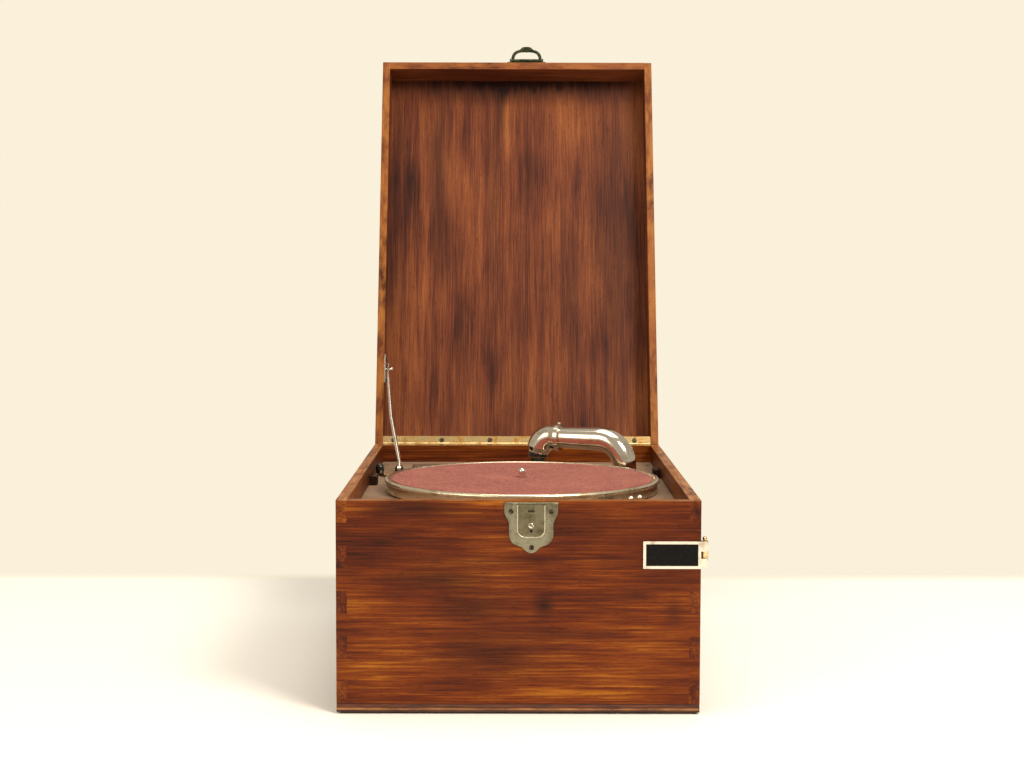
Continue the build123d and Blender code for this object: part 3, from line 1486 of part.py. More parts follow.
NODES = {
    "case_front_panel": front_panel,
    "case_rear_panel": rear_panel,
    "case_left_panel": lambda: side_panel(-1),
    "case_right_panel": lambda: side_panel(1),
    "case_bottom_board": bottom_board,
    "foot_pads": feet,
    "board_battens": battens_with_holes,
    "motor_board": motor_board,
    "case_screws": case_screws,
    "hinge_leaf_case": hinge_leaf_case,
    "hinge_pin": hinge_pin,
    "lock_plate": lock_plate,
    "lock_case": lock_case,
    "stay_foot": stay_foot_bracket,
    "tonearm_flange": arm_flange,
    "rest_post": rest_post,
    "horn_body": horn_body,
    "speed_base": speed_base,
    "crank_clips": crank_clips,
    "tray_hinge": tray_hinge,
    "motor_top_plate": motor_top_plate,
    "motor_bottom_plate": motor_bottom_plate,
    "motor_bolts": motor_bolts,
    "winding_case": winding_case,
    "winding_escutcheon": winding_escutcheon,
    "lid_front_wall": lid_front_wall,
    "lid_rear_wall": lid_rear_wall,
    "lid_left_wall": lambda: lid_side_wall(-1),
    "lid_right_wall": lambda: lid_side_wall(1),
    "lid_panel": lid_top_panel,
    "hinge_leaf_lid": hinge_leaf_lid,
    "lid_screws": lid_screws,
    "stay_bracket": stay_bracket,
    "hasp_base": hasp_base,
    "hasp": hasp,
    "stay_rod": stay_rod,
    "turntable_platter": turntable_shell,
    "turntable_felt": felt_mat,
    "spindle": spindle,
    "spindle_gears": spindle_gears,
    "spring_barrel": spring_barrel,
    "intermediate_gear": intermediate_gear,
    "governor": governor,
    "winding_shaft": winding_shaft,
    "tonearm_tube": tonearm_tube,
    "gooseneck_elbow": gooseneck_elbow,
    "gooseneck_bush": gooseneck_bush,
    "soundbox_body": soundbox_body,
    "soundbox_bezel": soundbox_bezel,
    "soundbox_gaskets": soundbox_gaskets,
    "soundbox_diaphragm": soundbox_diaphragm,
    "needle_bar": needle_bar,
    "needle": needle,
    "brake_lever": brake_lever,
    "brake_knob": brake_knob,
    "brake_pad": brake_pad,
    "speed_lever": speed_lever,
    "tray_front": tray_front,
    "tray_panel": tray_panel,
    "tray_box": tray_box,
}

os.makedirs("parts", exist_ok=True)
for node, make in NODES.items():
    shape = make()
    export_step(shape, "parts/" + node + ".step")
    box = shape.bounding_box()
    print(node, len(shape.solids()), round(shape.volume), shape.is_valid,
          [round(v, 1) for v in (box.min.X, box.min.Y, box.min.Z, box.max.X, box.max.Y, box.max.Z)])
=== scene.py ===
"""Looks of a wind-up portable gramophone in a mahogany case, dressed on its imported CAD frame."""
import json
import math

import bmesh
import bpy
from mathutils import Matrix, Vector, noise


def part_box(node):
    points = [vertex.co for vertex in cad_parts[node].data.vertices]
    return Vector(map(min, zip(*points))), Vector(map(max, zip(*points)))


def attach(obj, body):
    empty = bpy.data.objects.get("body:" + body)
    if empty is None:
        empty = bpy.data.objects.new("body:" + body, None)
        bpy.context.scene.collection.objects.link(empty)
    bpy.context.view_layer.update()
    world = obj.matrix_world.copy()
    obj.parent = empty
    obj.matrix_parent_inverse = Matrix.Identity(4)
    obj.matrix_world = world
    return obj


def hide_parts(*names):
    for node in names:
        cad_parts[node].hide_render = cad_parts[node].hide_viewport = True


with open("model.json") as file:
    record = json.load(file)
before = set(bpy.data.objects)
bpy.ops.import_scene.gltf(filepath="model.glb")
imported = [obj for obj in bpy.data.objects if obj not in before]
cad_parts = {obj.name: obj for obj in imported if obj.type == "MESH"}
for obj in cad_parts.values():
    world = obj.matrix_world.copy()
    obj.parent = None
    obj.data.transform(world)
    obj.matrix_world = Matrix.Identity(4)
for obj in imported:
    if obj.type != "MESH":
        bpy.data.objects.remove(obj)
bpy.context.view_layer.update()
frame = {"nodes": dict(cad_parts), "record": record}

nodes = frame["nodes"]
mm = 0.001

# Places taken from the frame, in metres
case_low, case_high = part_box("case_front_panel")
felt_low, felt_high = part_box("turntable_felt")
base_low, base_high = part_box("case_bottom_board")
front_y = case_low[1]
rim_z = case_high[2]
spin_x = (felt_low[0] + felt_high[0]) / 2
spin_y = (felt_low[1] + felt_high[1]) / 2
felt_r = (felt_high[0] - felt_low[0]) / 2
hinge_y = -front_y
hinge_z = rim_z + 0.2 * mm
lid_turn = math.radians(108.6)
lock_x = 10.4 * mm

# Sizes that several pieces share
pore_weight = 0.6
rub_width = 0.9 * mm
felt_hole_r = 4.3 * mm
weld_gap = 0.004 * mm


# Colour and nodes
def colour(text):
    """An sRGB hex value as linear red, green, blue and alpha."""
    parts = [int(text[i:i + 2], 16) / 255 for i in (0, 2, 4)]
    return [v / 12.92 if v <= 0.04045 else ((v + 0.055) / 1.055) ** 2.4 for v in parts] + [1.0]


def add(tree, kind, sockets=None, stops=None, **settings):
    """Adds a node, sets it and links it; a socket's value is a number, a colour or another output."""
    made = tree.nodes.new(kind)
    for key, value in settings.items():
        setattr(made, key, value)
    for key, value in (sockets or {}).items():
        if isinstance(value, bpy.types.NodeSocket):
            tree.links.new(value, made.inputs[key])
        else:
            made.inputs[key].default_value = value
    if stops:
        ramp = made.color_ramp
        while len(ramp.elements) < len(stops):
            ramp.elements.new(0.5)
        for element, (position, tone) in zip(ramp.elements, stops):
            element.position = position
            element.color = colour(tone) if isinstance(tone, str) else (tone, tone, tone, 1.0)
    return made


def blank(name):
    """A new material's tree and its shader."""
    made = bpy.data.materials.new(name)
    made.use_nodes = True
    return made, made.node_tree, made.node_tree.nodes["Principled BSDF"]


def place(tree, lid=False):
    """Where a point lies on the piece; on the lid, where it lies with the lid shut."""
    here = add(tree, "ShaderNodeTexCoord").outputs["Object"]
    if not lid:
        return here
    back = Matrix.Rotation(lid_turn, 3, "X") @ Vector((0, hinge_y, hinge_z))
    return add(tree, "ShaderNodeMapping", {"Vector": here, "Rotation": (lid_turn, 0, 0),
               "Location": (0, hinge_y - back.y, hinge_z - back.z)}).outputs[0]


def grain(tree, here, period, stretch, axis, detail=4.0, rough=0.55, shift=0.0):
    """Noise whose spots are a period wide and are drawn out along one axis."""
    scale = [1.0 / period] * 3
    scale[axis] /= stretch
    moved = add(tree, "ShaderNodeMapping", {"Vector": here, "Scale": scale, "Location": (shift, shift, shift)})
    return add(tree, "ShaderNodeTexNoise", {"Vector": moved.outputs[0], "Scale": 1.0, "Detail": detail,
               "Roughness": rough}).outputs["Fac"]


def blend(tree, kind, factor, low, high):
    """Two colours mixed by a factor."""
    mixed = add(tree, "ShaderNodeMix", {"Factor": factor}, data_type="RGBA", blend_type=kind)
    for key, value in ((6, low), (7, high)):
        if isinstance(value, bpy.types.NodeSocket):
            tree.links.new(value, mixed.inputs[key])
        else:
            mixed.inputs[key].default_value = colour(value)
    return mixed.outputs[2]


def spread(tree, value, low, high, to_low=0.0, to_high=1.0):
    """A value taken from one range to another, and held at its ends."""
    return add(tree, "ShaderNodeMapRange", {"Value": value, "From Min": low, "From Max": high,
               "To Min": to_low, "To Max": to_high}).outputs[0]


def sum_of(tree, *parts):
    """Values times their weights, added up."""
    total = None
    for value, weight in parts:
        sockets = {0: value, 1: weight, 2: total if total is not None else 0.0}
        total = add(tree, "ShaderNodeMath", sockets, operation="MULTIPLY_ADD").outputs[0]
    return total


def dark_spot(tree, here, centre, reach):
    """A soft dark spot, one at its centre and nothing at its edge."""
    scale = [1.0 / (r * mm) for r in reach]
    shift = [-c * mm * s for c, s in zip(centre, scale)]
    moved = add(tree, "ShaderNodeMapping", {"Vector": here, "Scale": scale, "Location": shift})
    return add(tree, "ShaderNodeTexGradient", {"Vector": moved.outputs[0]},
               gradient_type="SPHERICAL").outputs["Fac"]


def wandering(tree, here, amount, period):
    """The place moved about by noise, so that edges of spots wander."""
    drift = add(tree, "ShaderNodeTexNoise", {"Vector": here, "Scale": 1.0 / period, "Detail": 3.0})
    shift = add(tree, "ShaderNodeVectorMath", {0: drift.outputs["Color"], 1: (0.5, 0.5, 0.5)},
                operation="SUBTRACT")
    scaled = add(tree, "ShaderNodeVectorMath", {0: shift.outputs[0], "Scale": amount}, operation="SCALE")
    return add(tree, "ShaderNodeVectorMath", {0: here, 1: scaled.outputs[0]}).outputs[0]


def shellacked_mahogany(name, axis, tones, lid=False, stains_and_shadows=(), worn=None, worn_tone="b98250",
                        coat=0.04, shine=0.34, streak=14.0, seed=0.0):
    """Quarter-sawn mahogany under old shellac: fine pores, ribbon streaks, cloudy staining, soft dark spots,
    which are real staining and on the lid panel partly painted shadow of the lid's walls, and a soft shine.
    """
    made, tree, shader = blank(name)
    here = place(tree, lid)
    loose = wandering(tree, here, 5 * mm, 60 * mm)
    clouds = grain(tree, loose, 55 * mm, 2.6, axis, 3.0, 0.5, seed)
    ribbons = grain(tree, loose, 7.5 * mm, streak, axis, 4.0, 0.6, seed + 3)
    lines = grain(tree, here, 1.5 * mm, 40.0, axis, 3.0, 0.6, seed + 5)
    pores = grain(tree, here, 0.55 * mm, 14.0, axis, 2.0, 0.5, seed + 8)
    tone = sum_of(tree, (clouds, 0.60), (ribbons, 0.42), (lines, 0.46))
    tone = spread(tree, tone, 0.54, 0.94)
    wood = add(tree, "ShaderNodeValToRGB", {"Fac": tone},
               stops=list(zip((0.0, 0.34, 0.66, 1.0), tones))).outputs["Color"]
    # dark spots, real staining and on the lid panel also painted shadow of the lid's walls, darken the wood
    # towards 4c2e1c
    shade = None
    for centre, reach, weight in stains_and_shadows:
        spot = dark_spot(tree, loose, centre, reach)
        shade = sum_of(tree, (spot, weight), (shade, 1.0)) if shade is not None else sum_of(tree, (spot, weight))
    if shade is not None:
        mottled = add(tree, "ShaderNodeMath", {0: shade, 1: spread(tree, ribbons, 0.3, 0.7, 0.55, 1.25)},
                      operation="MULTIPLY", use_clamp=True).outputs[0]
        wood = blend(tree, "MULTIPLY", mottled, wood, "4c2e1c")
    dark_pores = spread(tree, pores, 0.40, 0.30)
    wood = blend(tree, "MULTIPLY", sum_of(tree, (dark_pores, pore_weight)), wood, "6a3d22")
    roughness = spread(tree, ribbons, 0.3, 0.7, shine, shine + 0.14)
    if worn is not None:
        apart = add(tree, "ShaderNodeSeparateXYZ", {"Vector": here})
        edge = None
        for key, level, inward in worn:
            away = add(tree, "ShaderNodeMath", {0: apart.outputs[key], 1: level}, operation="SUBTRACT")
            near = spread(tree, away.outputs[0], inward * rub_width, 0.0)
            edge = near if edge is None else add(tree, "ShaderNodeMath", {0: edge, 1: near},
                                                 operation="MAXIMUM").outputs[0]
        patchy = spread(tree, grain(tree, here, 9 * mm, 3.0, axis, 5.0, 0.7, seed + 11), 0.36, 0.58)
        rubbed = add(tree, "ShaderNodeMath", {0: edge, 1: patchy}, operation="MULTIPLY").outputs[0]
        bare = blend(tree, "MIX", spread(tree, lines, 0.35, 0.65), worn_tone, "8a5226")
        wood = blend(tree, "MIX", rubbed, wood, bare)
    height = sum_of(tree, (dark_pores, -0.6), (lines, 0.5))
    bump = add(tree, "ShaderNodeBump", {"Height": height, "Strength": 0.22, "Distance": 0.25 * mm})
    tree.links.new(wood, shader.inputs["Base Color"])
    tree.links.new(roughness, shader.inputs["Roughness"])
    tree.links.new(bump.outputs[0], shader.inputs["Normal"])
    shader.inputs["IOR"].default_value = 1.5
    shader.inputs["Specular IOR Level"].default_value = 0.16
    shader.inputs["Coat Weight"].default_value = coat
    shader.inputs["Coat Roughness"].default_value = 0.28
    return made


def birch_plywood(name):
    """Stained plywood: face grain like the case, and thin light and dark plies on its edges."""
    made, tree, shader = blank(name)
    here = place(tree)
    height = add(tree, "ShaderNodeSeparateXYZ", {"Vector": here}).outputs["Z"]
    across = spread(tree, height, base_low[2], base_high[2])
    plies = add(tree, "ShaderNodeValToRGB", {"Fac": across}, stops=[(0.0, "3c1d0c"), (0.26, "5a2f14"),
                (0.31, "b57f45"), (0.46, "a06a34"), (0.52, "5b2c12"), (0.86, "6e3413"), (0.93, "2c1409")])
    streaks = grain(tree, here, 2.2 * mm, 9.0, 0, 4.0, 0.6, 2.0)
    wood = blend(tree, "MULTIPLY", spread(tree, streaks, 0.35, 0.68), "ffffff", "8c6a4c")
    wood = blend(tree, "MULTIPLY", 1.0, plies.outputs["Color"], wood)
    tree.links.new(wood, shader.inputs["Base Color"])
    tree.links.new(spread(tree, streaks, 0.3, 0.7, 0.5, 0.7), shader.inputs["Roughness"])
    bump = add(tree, "ShaderNodeBump", {"Height": streaks, "Strength": 0.3, "Distance": 0.3 * mm})
    tree.links.new(bump.outputs[0], shader.inputs["Normal"])
    return made


def dusty_board(name):
    """Thin stained veneer under years of dust: brown grain that shows through a grey film."""
    made, tree, shader = blank(name)
    here = place(tree)
    streaks = grain(tree, here, 5 * mm, 12.0, 0, 5.0, 0.6)
    fine = grain(tree, here, 1.1 * mm, 18.0, 0, 3.0, 0.6, 4.0)
    wood = add(tree, "ShaderNodeValToRGB", {"Fac": sum_of(tree, (streaks, 0.65), (fine, 0.35))},
               stops=[(0.3, "4a2c1a"), (0.5, "7a5236"), (0.7, "9a7150")]).outputs["Color"]
    film = spread(tree, grain(tree, here, 26 * mm, 1.0, 0, 6.0, 0.65, 9.0), 0.32, 0.66, 0.25, 0.72)
    wood = blend(tree, "MIX", film, wood, "94806c")
    tree.links.new(wood, shader.inputs["Base Color"])
    tree.links.new(spread(tree, film, 0.0, 1.0, 0.5, 0.85), shader.inputs["Roughness"])
    bump = add(tree, "ShaderNodeBump", {"Height": fine, "Strength": 0.2, "Distance": 0.2 * mm})
    tree.links.new(bump.outputs[0], shader.inputs["Normal"])
    return made


def raw_spruce(name):
    """Sawn spruce battens: pale wood with darker summer lines and no finish."""
    made, tree, shader = blank(name)
    here = place(tree)
    lines = grain(tree, here, 2.8 * mm, 26.0, 1, 4.0, 0.6)
    wood = add(tree, "ShaderNodeValToRGB", {"Fac": lines},
               stops=[(0.32, "7d5430"), (0.5, "b68a58"), (0.7, "caa274")]).outputs["Color"]
    tree.links.new(wood, shader.inputs["Base Color"])
    shader.inputs["Roughness"].default_value = 0.75
    bump = add(tree, "ShaderNodeBump", {"Height": lines, "Strength": 0.3, "Distance": 0.3 * mm})
    tree.links.new(bump.outputs[0], shader.inputs["Normal"])
    return made


def aged_metal(name, clean, dull, rough=(0.12, 0.3), spots=0.35, scratch=0.35, period=14.0, pits=0.0):
    """Old metal or plating: a clean tone, cloudy tarnish, fine scratches and small pits."""
    made, tree, shader = blank(name)
    here = place(tree)
    clouds = grain(tree, here, period * mm, 1.0, 0, 6.0, 0.65)
    lines = grain(tree, here, 0.5 * mm, 20.0, 0, 2.0, 0.5, 3.0)
    specks = grain(tree, here, 0.9 * mm, 1.0, 0, 2.0, 0.5, 6.0)
    tarnish = spread(tree, clouds, 0.66 - spots * 0.5, 0.80 - spots * 0.35)
    tone = blend(tree, "MIX", tarnish, clean, dull)
    dots = spread(tree, specks, 0.36, 0.30)
    tone = blend(tree, "MULTIPLY", sum_of(tree, (dots, pits)), tone, "3a2c20")
    tree.links.new(tone, shader.inputs["Base Color"])
    rubbed = sum_of(tree, (tarnish, rough[1] - rough[0]), (spread(tree, lines, 0.35, 0.7), scratch * 0.12),
                    (dots, pits * 0.2))
    final = add(tree, "ShaderNodeMath", {0: rubbed, 1: rough[0]}, operation="ADD", use_clamp=True)
    tree.links.new(final.outputs[0], shader.inputs["Roughness"])
    bump = add(tree, "ShaderNodeBump", {"Height": sum_of(tree, (lines, scratch), (dots, -pits)),
               "Strength": 0.08 + scratch * 0.1, "Distance": 0.05 * mm})
    tree.links.new(bump.outputs[0], shader.inputs["Normal"])
    shader.inputs["Metallic"].default_value = 1.0
    return made


def hard_black(name, tone, rough, dust=0.3, gloss=0.5):
    """Black ebonite, paint or lacquer with a thin film of dust and small marks."""
    made, tree, shader = blank(name)
    here = place(tree)
    film = spread(tree, grain(tree, here, 4 * mm, 1.0, 0, 6.0, 0.7), 0.4, 0.75, 0.0, dust)
    marks = grain(tree, here, 0.8 * mm, 6.0, 0, 3.0, 0.6, 5.0)
    tree.links.new(blend(tree, "MIX", film, tone, "6b5e50"), shader.inputs["Base Color"])
    tree.links.new(spread(tree, marks, 0.3, 0.7, rough, rough + 0.12), shader.inputs["Roughness"])
    bump = add(tree, "ShaderNodeBump", {"Height": marks, "Strength": 0.06, "Distance": 0.1 * mm})
    tree.links.new(bump.outputs[0], shader.inputs["Normal"])
    shader.inputs["Specular IOR Level"].default_value = gloss
    shader.inputs["IOR"].default_value = 1.5
    return made


def pressed_wool(name, tones, fibre=2.3, dust=0.3):
    """Pressed wool felt: tangled fibres, a matted speckle, worn paler patches and a soft bloom."""
    made, tree, shader = blank(name)
    here = place(tree)
    fibres = grain(tree, here, fibre * mm, 1.0, 0, 6.0, 0.75)
    crossed = grain(tree, here, fibre * 0.5 * mm, 5.0, 0, 3.0, 0.7, 4.0)
    tangled = grain(tree, here, fibre * 0.5 * mm, 5.0, 1, 3.0, 0.7, 7.0)
    patches = grain(tree, here, 34 * mm, 1.0, 0, 5.0, 0.6, 2.0)
    tone = sum_of(tree, (fibres, 0.5), (crossed, 0.25), (tangled, 0.25))
    wool = add(tree, "ShaderNodeValToRGB", {"Fac": tone},
               stops=list(zip((0.40, 0.47, 0.53, 0.60), tones))).outputs["Color"]
    wool = blend(tree, "MIX", spread(tree, patches, 0.35, 0.68, 0.0, dust), wool, tones[3])
    tree.links.new(wool, shader.inputs["Base Color"])
    shader.inputs["Roughness"].default_value = 0.95
    shader.inputs["Specular IOR Level"].default_value = 0.15
    shader.inputs["Sheen Weight"].default_value = 0.14
    shader.inputs["Sheen Roughness"].default_value = 0.6
    bump = add(tree, "ShaderNodeBump", {"Height": tone, "Strength": 0.9, "Distance": 0.9 * mm})
    tree.links.new(bump.outputs[0], shader.inputs["Normal"])
    return made


def split_mica(name):
    """Split mica: clear, faintly brown sheets with cloudy layers between them."""
    made, tree, shader = blank(name)
    here = place(tree)
    layers = grain(tree, here, 9 * mm, 1.0, 0, 4.0, 0.6)
    tree.links.new(blend(tree, "MIX", layers, "e8dcb8", "c0a878"), shader.inputs["Base Color"])
    tree.links.new(spread(tree, layers, 0.3, 0.7, 0.05, 0.2), shader.inputs["Roughness"])
    shader.inputs["Transmission Weight"].default_value = 0.6
    shader.inputs["IOR"].default_value = 1.56
    return made


front_stains = [
    ((-64, -218, 113), (62, 30, 13), 0.75), ((-36, -218, 90), (44, 30, 19), 0.75),
    ((21, -218, 91), (12, 30, 14), 0.85), ((-86, -218, 170), (62, 30, 11), 0.75),
    ((98, -218, 99), (20, 30, 6), 0.6), ((-22, -218, 50), (70, 30, 26), 0.55),
    ((40, -218, 66), (60, 30, 7), 0.45), ((20, -218, 160), (95, 30, 16), 0.5),
    ((-30, -218, 128), (120, 30, 8), 0.4), ((128, -218, 86), (10, 30, 16), 0.5)]
# On the lid panel the wide band at the front edge, the top edge when the lid stands open, and the band along the
# right side are painted shadow of the lid's walls; the narrow band along the left side darkens the panel along
# that wall; the other spots are real staining.
panel_stains_and_painted_shadows = [
    ((-88, -120, 214), (13, 90, 30), 0.75), ((-84, -30, 214), (16, 90, 30), 0.5),
    ((-20, -170, 214), (9, 60, 30), 0.7), ((-26, -60, 214), (12, 120, 30), 0.5),
    ((112, -20, 214), (40, 230, 30), 0.55), ((60, 30, 214), (14, 120, 30), 0.4),
    ((0, -212, 214), (240, 34, 30), 1.5), ((-136, -60, 214), (16, 170, 30), 0.5)]
case_tones = ("2a0d04", "521e05", "723609", "965516")
front_tones = ("2a0a01", "541d01", "723203", "a05e12")
lid_tones = ("2b1007", "582815", "743d20", "90532a")
top_edge = [("Z", rim_z, -1)]
lid_rim = [("Z", rim_z + 0.4 * mm, 1)]

finishes = {
    "red_felt": pressed_wool("pressed_red_wool_felt", ("431210", "78291f", "964434", "b56a53")),
    "front": shellacked_mahogany("mahogany_front_board", 0, front_tones, stains_and_shadows=front_stains, worn=top_edge,
                                 worn_tone="9a6a42"),
    "rear": shellacked_mahogany("mahogany_rear_board", 0, case_tones, worn=top_edge, seed=20.0),
    "side": shellacked_mahogany("mahogany_side_board", 1, case_tones, worn=top_edge, seed=31.0),
    "lid_end": shellacked_mahogany("mahogany_lid_end", 0, lid_tones, lid=True, worn=lid_rim, seed=43.0,
                                   worn_tone="8e5428"),
    "lid_side": shellacked_mahogany("mahogany_lid_side", 1, lid_tones, lid=True, worn=lid_rim, seed=57.0,
                                    worn_tone="a0672f"),
    "lid_panel": shellacked_mahogany("mahogany_lid_panel", 1, lid_tones, lid=True, stains_and_shadows=panel_stains_and_painted_shadows,
                                     streak=30.0, seed=64.0, coat=0.02, shine=0.42),
    "plywood": birch_plywood("stained_birch_plywood"),
    "battens": raw_spruce("sawn_spruce"),
    "board": dusty_board("dusty_veneered_board"),
    "pad_felt": pressed_wool("grey_brown_wool_felt", ("2b2018", "43342a", "584738", "6d5b49"), 1.0, 0.2),
    "screw_steel": aged_metal("browned_steel_screws", "6f675a", "2e241b", (0.32, 0.55), 0.6, 0.5, 2.0, pits=0.6),
    "hinge_brass": aged_metal("dulled_brass_hinge", "dcbf8a", "a3793e", (0.24, 0.42), 0.4, 0.4, 9.0, pits=0.5),
    "lock_nickel": aged_metal("worn_nickel_on_brass", "8f8a76", "665c46", (0.24, 0.36), 0.4, 0.5, 14.0, pits=0.3),
    # painted highlight: the bright metal of the strip laid along the lock box's edge
    "lock_edge_highlight": aged_metal("painted_highlight_lock_edge", "cfc6ae", "968b70", (0.2, 0.34), 0.3, 0.4, 6.0, pits=0.2),
    "lock_box": aged_metal("rubbed_nickel_lock_box", "7b745e", "585039", (0.26, 0.38), 0.4, 0.5, 12.0, pits=0.3),
    "hasp_dark": aged_metal("tarnished_green_brass", "4b4a34", "22281e", (0.3, 0.5), 0.6, 0.5, 5.0, pits=0.6),
    "blackened_steel": aged_metal("blackened_steel", "4a3d30", "261e17", (0.32, 0.5), 0.5, 0.5, 6.0, pits=0.5),
    "nickel": aged_metal("polished_nickel_plate", "e2d8ca", "b09f8a", (0.1, 0.24), 0.24, 0.3, 16.0, pits=0.15),
    "platter_nickel": aged_metal("nickel_plated_steel_platter", "e6dac0", "a08e70", (0.26, 0.44), 0.3, 0.4, 20.0,
                                 pits=0.3),
    "black_ebonite": hard_black("black_ebonite", "0d0b0a", 0.22, 0.2),
    "horn_paint": hard_black("matt_black_horn_paint", "15120f", 0.55, 0.45),
    "motor_steel": aged_metal("bright_drawn_steel", "a3a19a", "6d6456", (0.26, 0.45), 0.4, 0.6, 18.0, pits=0.4),
    "cast_grey": aged_metal("grey_cast_iron", "6b6c6a", "3e3b36", (0.5, 0.7), 0.5, 0.3, 7.0, pits=0.9),
    "gear_brass": aged_metal("cut_brass_gears", "d2ab5e", "8e6a32", (0.22, 0.4), 0.35, 0.5, 8.0, pits=0.2),
    "tray_brass": aged_metal("polished_cream_brass", "eed3a0", "b08a52", (0.2, 0.36), 0.35, 0.4, 5.0, pits=0.3),
    # black lacquer; the same material is also the painted shade of the lock's slot and key hole
    "black_panel": hard_black("black_lacquer_and_painted_hole_shade", "030304", 0.12, 0.04, gloss=0.12),
    "tin": aged_metal("tinned_sheet", "bcb9ae", "7c7364", (0.25, 0.45), 0.4, 0.4, 8.0, pits=0.3),
    "soundbox_grey": aged_metal("cast_soundbox_alloy", "9c9a93", "66625a", (0.3, 0.5), 0.4, 0.4, 6.0, pits=0.3),
    "gasket_rubber": hard_black("aged_rubber_tube", "241b15", 0.6, 0.35),
    "mica": split_mica("split_mica_sheet"),
    "pad_leather": pressed_wool("brown_brake_leather", ("2a150b", "43240f", "5a3318", "6e4524"), 0.8, 0.1),
}
own_finish = {
    "case_front_panel": "front", "case_rear_panel": "rear", "case_left_panel": "side",
    "case_right_panel": "side", "case_bottom_board": "plywood", "board_battens": "battens",
    "motor_board": "board", "lid_front_wall": "lid_end", "lid_rear_wall": "lid_end",
    "lid_left_wall": "lid_side", "lid_right_wall": "lid_side", "lid_panel": "lid_panel",
    "hasp": "hasp_dark", "hasp_base": "hasp_dark", "lock_case": "lock_box"}
slot_of = {part["node"]: part["material_slot"] for part in frame["record"]["subparts"]}
for name, piece in nodes.items():
    finish = finishes[own_finish.get(name, slot_of[name])]
    if not piece.material_slots:
        piece.data.materials.append(finish)
    for socket in piece.material_slots:
        socket.link = "OBJECT"
        socket.material = finish


def rounded(name, width, steps):
    """Rounds a node's edges, in millimetres; its faces are joined first, because they come apart."""
    joined = nodes[name].modifiers.new("joined_faces", "WELD")
    joined.merge_threshold = weld_gap
    edge = nodes[name].modifiers.new("rounded_edges", "BEVEL")
    edge.width = width * mm
    edge.segments = steps
    edge.limit_method = "ANGLE"
    edge.angle_limit = math.radians(50)
    edge.harden_normals = True


# Rubbed edges of the boards, whose joints show as fine dark lines, and pressed edges of the fittings
for name, width, steps in (
        ("case_front_panel", 0.5, 2), ("case_rear_panel", 0.5, 2), ("case_left_panel", 0.5, 2),
        ("case_right_panel", 0.5, 2), ("case_bottom_board", 0.5, 2), ("lid_front_wall", 0.5, 2),
        ("lid_rear_wall", 0.5, 2), ("lid_left_wall", 0.5, 2), ("lid_right_wall", 0.5, 2),
        ("lock_case", 0.9, 3), ("lock_plate", 0.4, 3), ("tray_front", 0.7, 3), ("hasp_base", 0.3, 2),
        ("winding_escutcheon", 0.4, 3), ("crank_clips", 0.4, 2), ("brake_lever", 0.3, 2)):
    rounded(name, width, steps)


# Soft pieces
def solid_of(name, faces_from):
    """An object from a bmesh."""
    mesh = bpy.data.meshes.new(name)
    faces_from.to_mesh(mesh)
    faces_from.free()
    made = bpy.data.objects.new(name, mesh)
    bpy.context.scene.collection.objects.link(made)
    for face in mesh.polygons:
        face.use_smooth = True
    return made


def felt_mat():
    """Round mat of pressed wool, cut by hand: a wavy face, a ragged edge and a worn hole for the spindle."""
    work = bmesh.new()
    rings, around = 46, 256
    hole = felt_hole_r
    low, high = felt_low[2], felt_high[2]

    def ring(radius, level, ragged):
        points = []
        for i in range(around):
            turn = 2 * math.pi * i / around
            ux, uy = math.cos(turn), math.sin(turn)
            rough = noise.noise(Vector((ux * 9, uy * 9, level * 90))) * 0.5
            rough += noise.noise(Vector((ux * 60, uy * 60, level * 400))) * 0.5
            away = radius + ragged * mm * rough
            wave = noise.noise(Vector((ux * radius * 40, uy * radius * 40, 3.0))) * 0.18 * mm
            lift = wave if level > (low + high) / 2 else 0.0
            points.append(work.verts.new((spin_x + ux * away, spin_y + uy * away, level + min(lift, 0.12 * mm))))
        return points

    edge = felt_r - 0.35 * mm
    rows = [ring(hole, low, 0.0)]
    rows.append(ring(edge - 0.3 * mm, low, 0.3))
    rows.append(ring(edge, low + 0.5 * mm, 0.6))
    rows.append(ring(edge, high - 0.5 * mm, 0.6))
    rows.append(ring(edge - 0.4 * mm, high - 0.14 * mm, 0.5))
    for i in range(rings):
        rows.append(ring(edge - 1.2 * mm - (edge - 1.2 * mm - hole) * i / (rings - 1), high - 0.12 * mm, 0.1))
    rows.append(rows[0])
    for inner, outer in zip(rows, rows[1:]):
        for i in range(around):
            j = (i + 1) % around
            work.faces.new((inner[i], inner[j], outer[j], outer[i]))
    bmesh.ops.recalc_face_normals(work, faces=work.faces)
    made = solid_of("wool_felt_mat", work)
    made.data.materials.append(finishes["red_felt"])
    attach(made, "turntable")
    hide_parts("turntable_felt")


def soft_copy(node, name, body, slot, round_off):
    """A soft piece in the space of its plain solid, with rounded edges and an uneven skin."""
    work = bmesh.new()
    work.from_mesh(nodes[node].data)
    bmesh.ops.remove_doubles(work, verts=work.verts, dist=0.01 * mm)
    bmesh.ops.dissolve_limit(work, angle_limit=math.radians(4), verts=work.verts, edges=work.edges)
    sharp = [e for e in work.edges if len(e.link_faces) == 2 and e.calc_face_angle(0) > math.radians(35)]
    bmesh.ops.bevel(work, geom=sharp, offset=round_off, segments=3, profile=0.5, affect="EDGES",
                    clamp_overlap=True)
    bmesh.ops.triangulate(work, faces=work.faces)
    made = solid_of(name, work)
    made.data.materials.append(finishes[slot])
    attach(made, body)
    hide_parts(node)


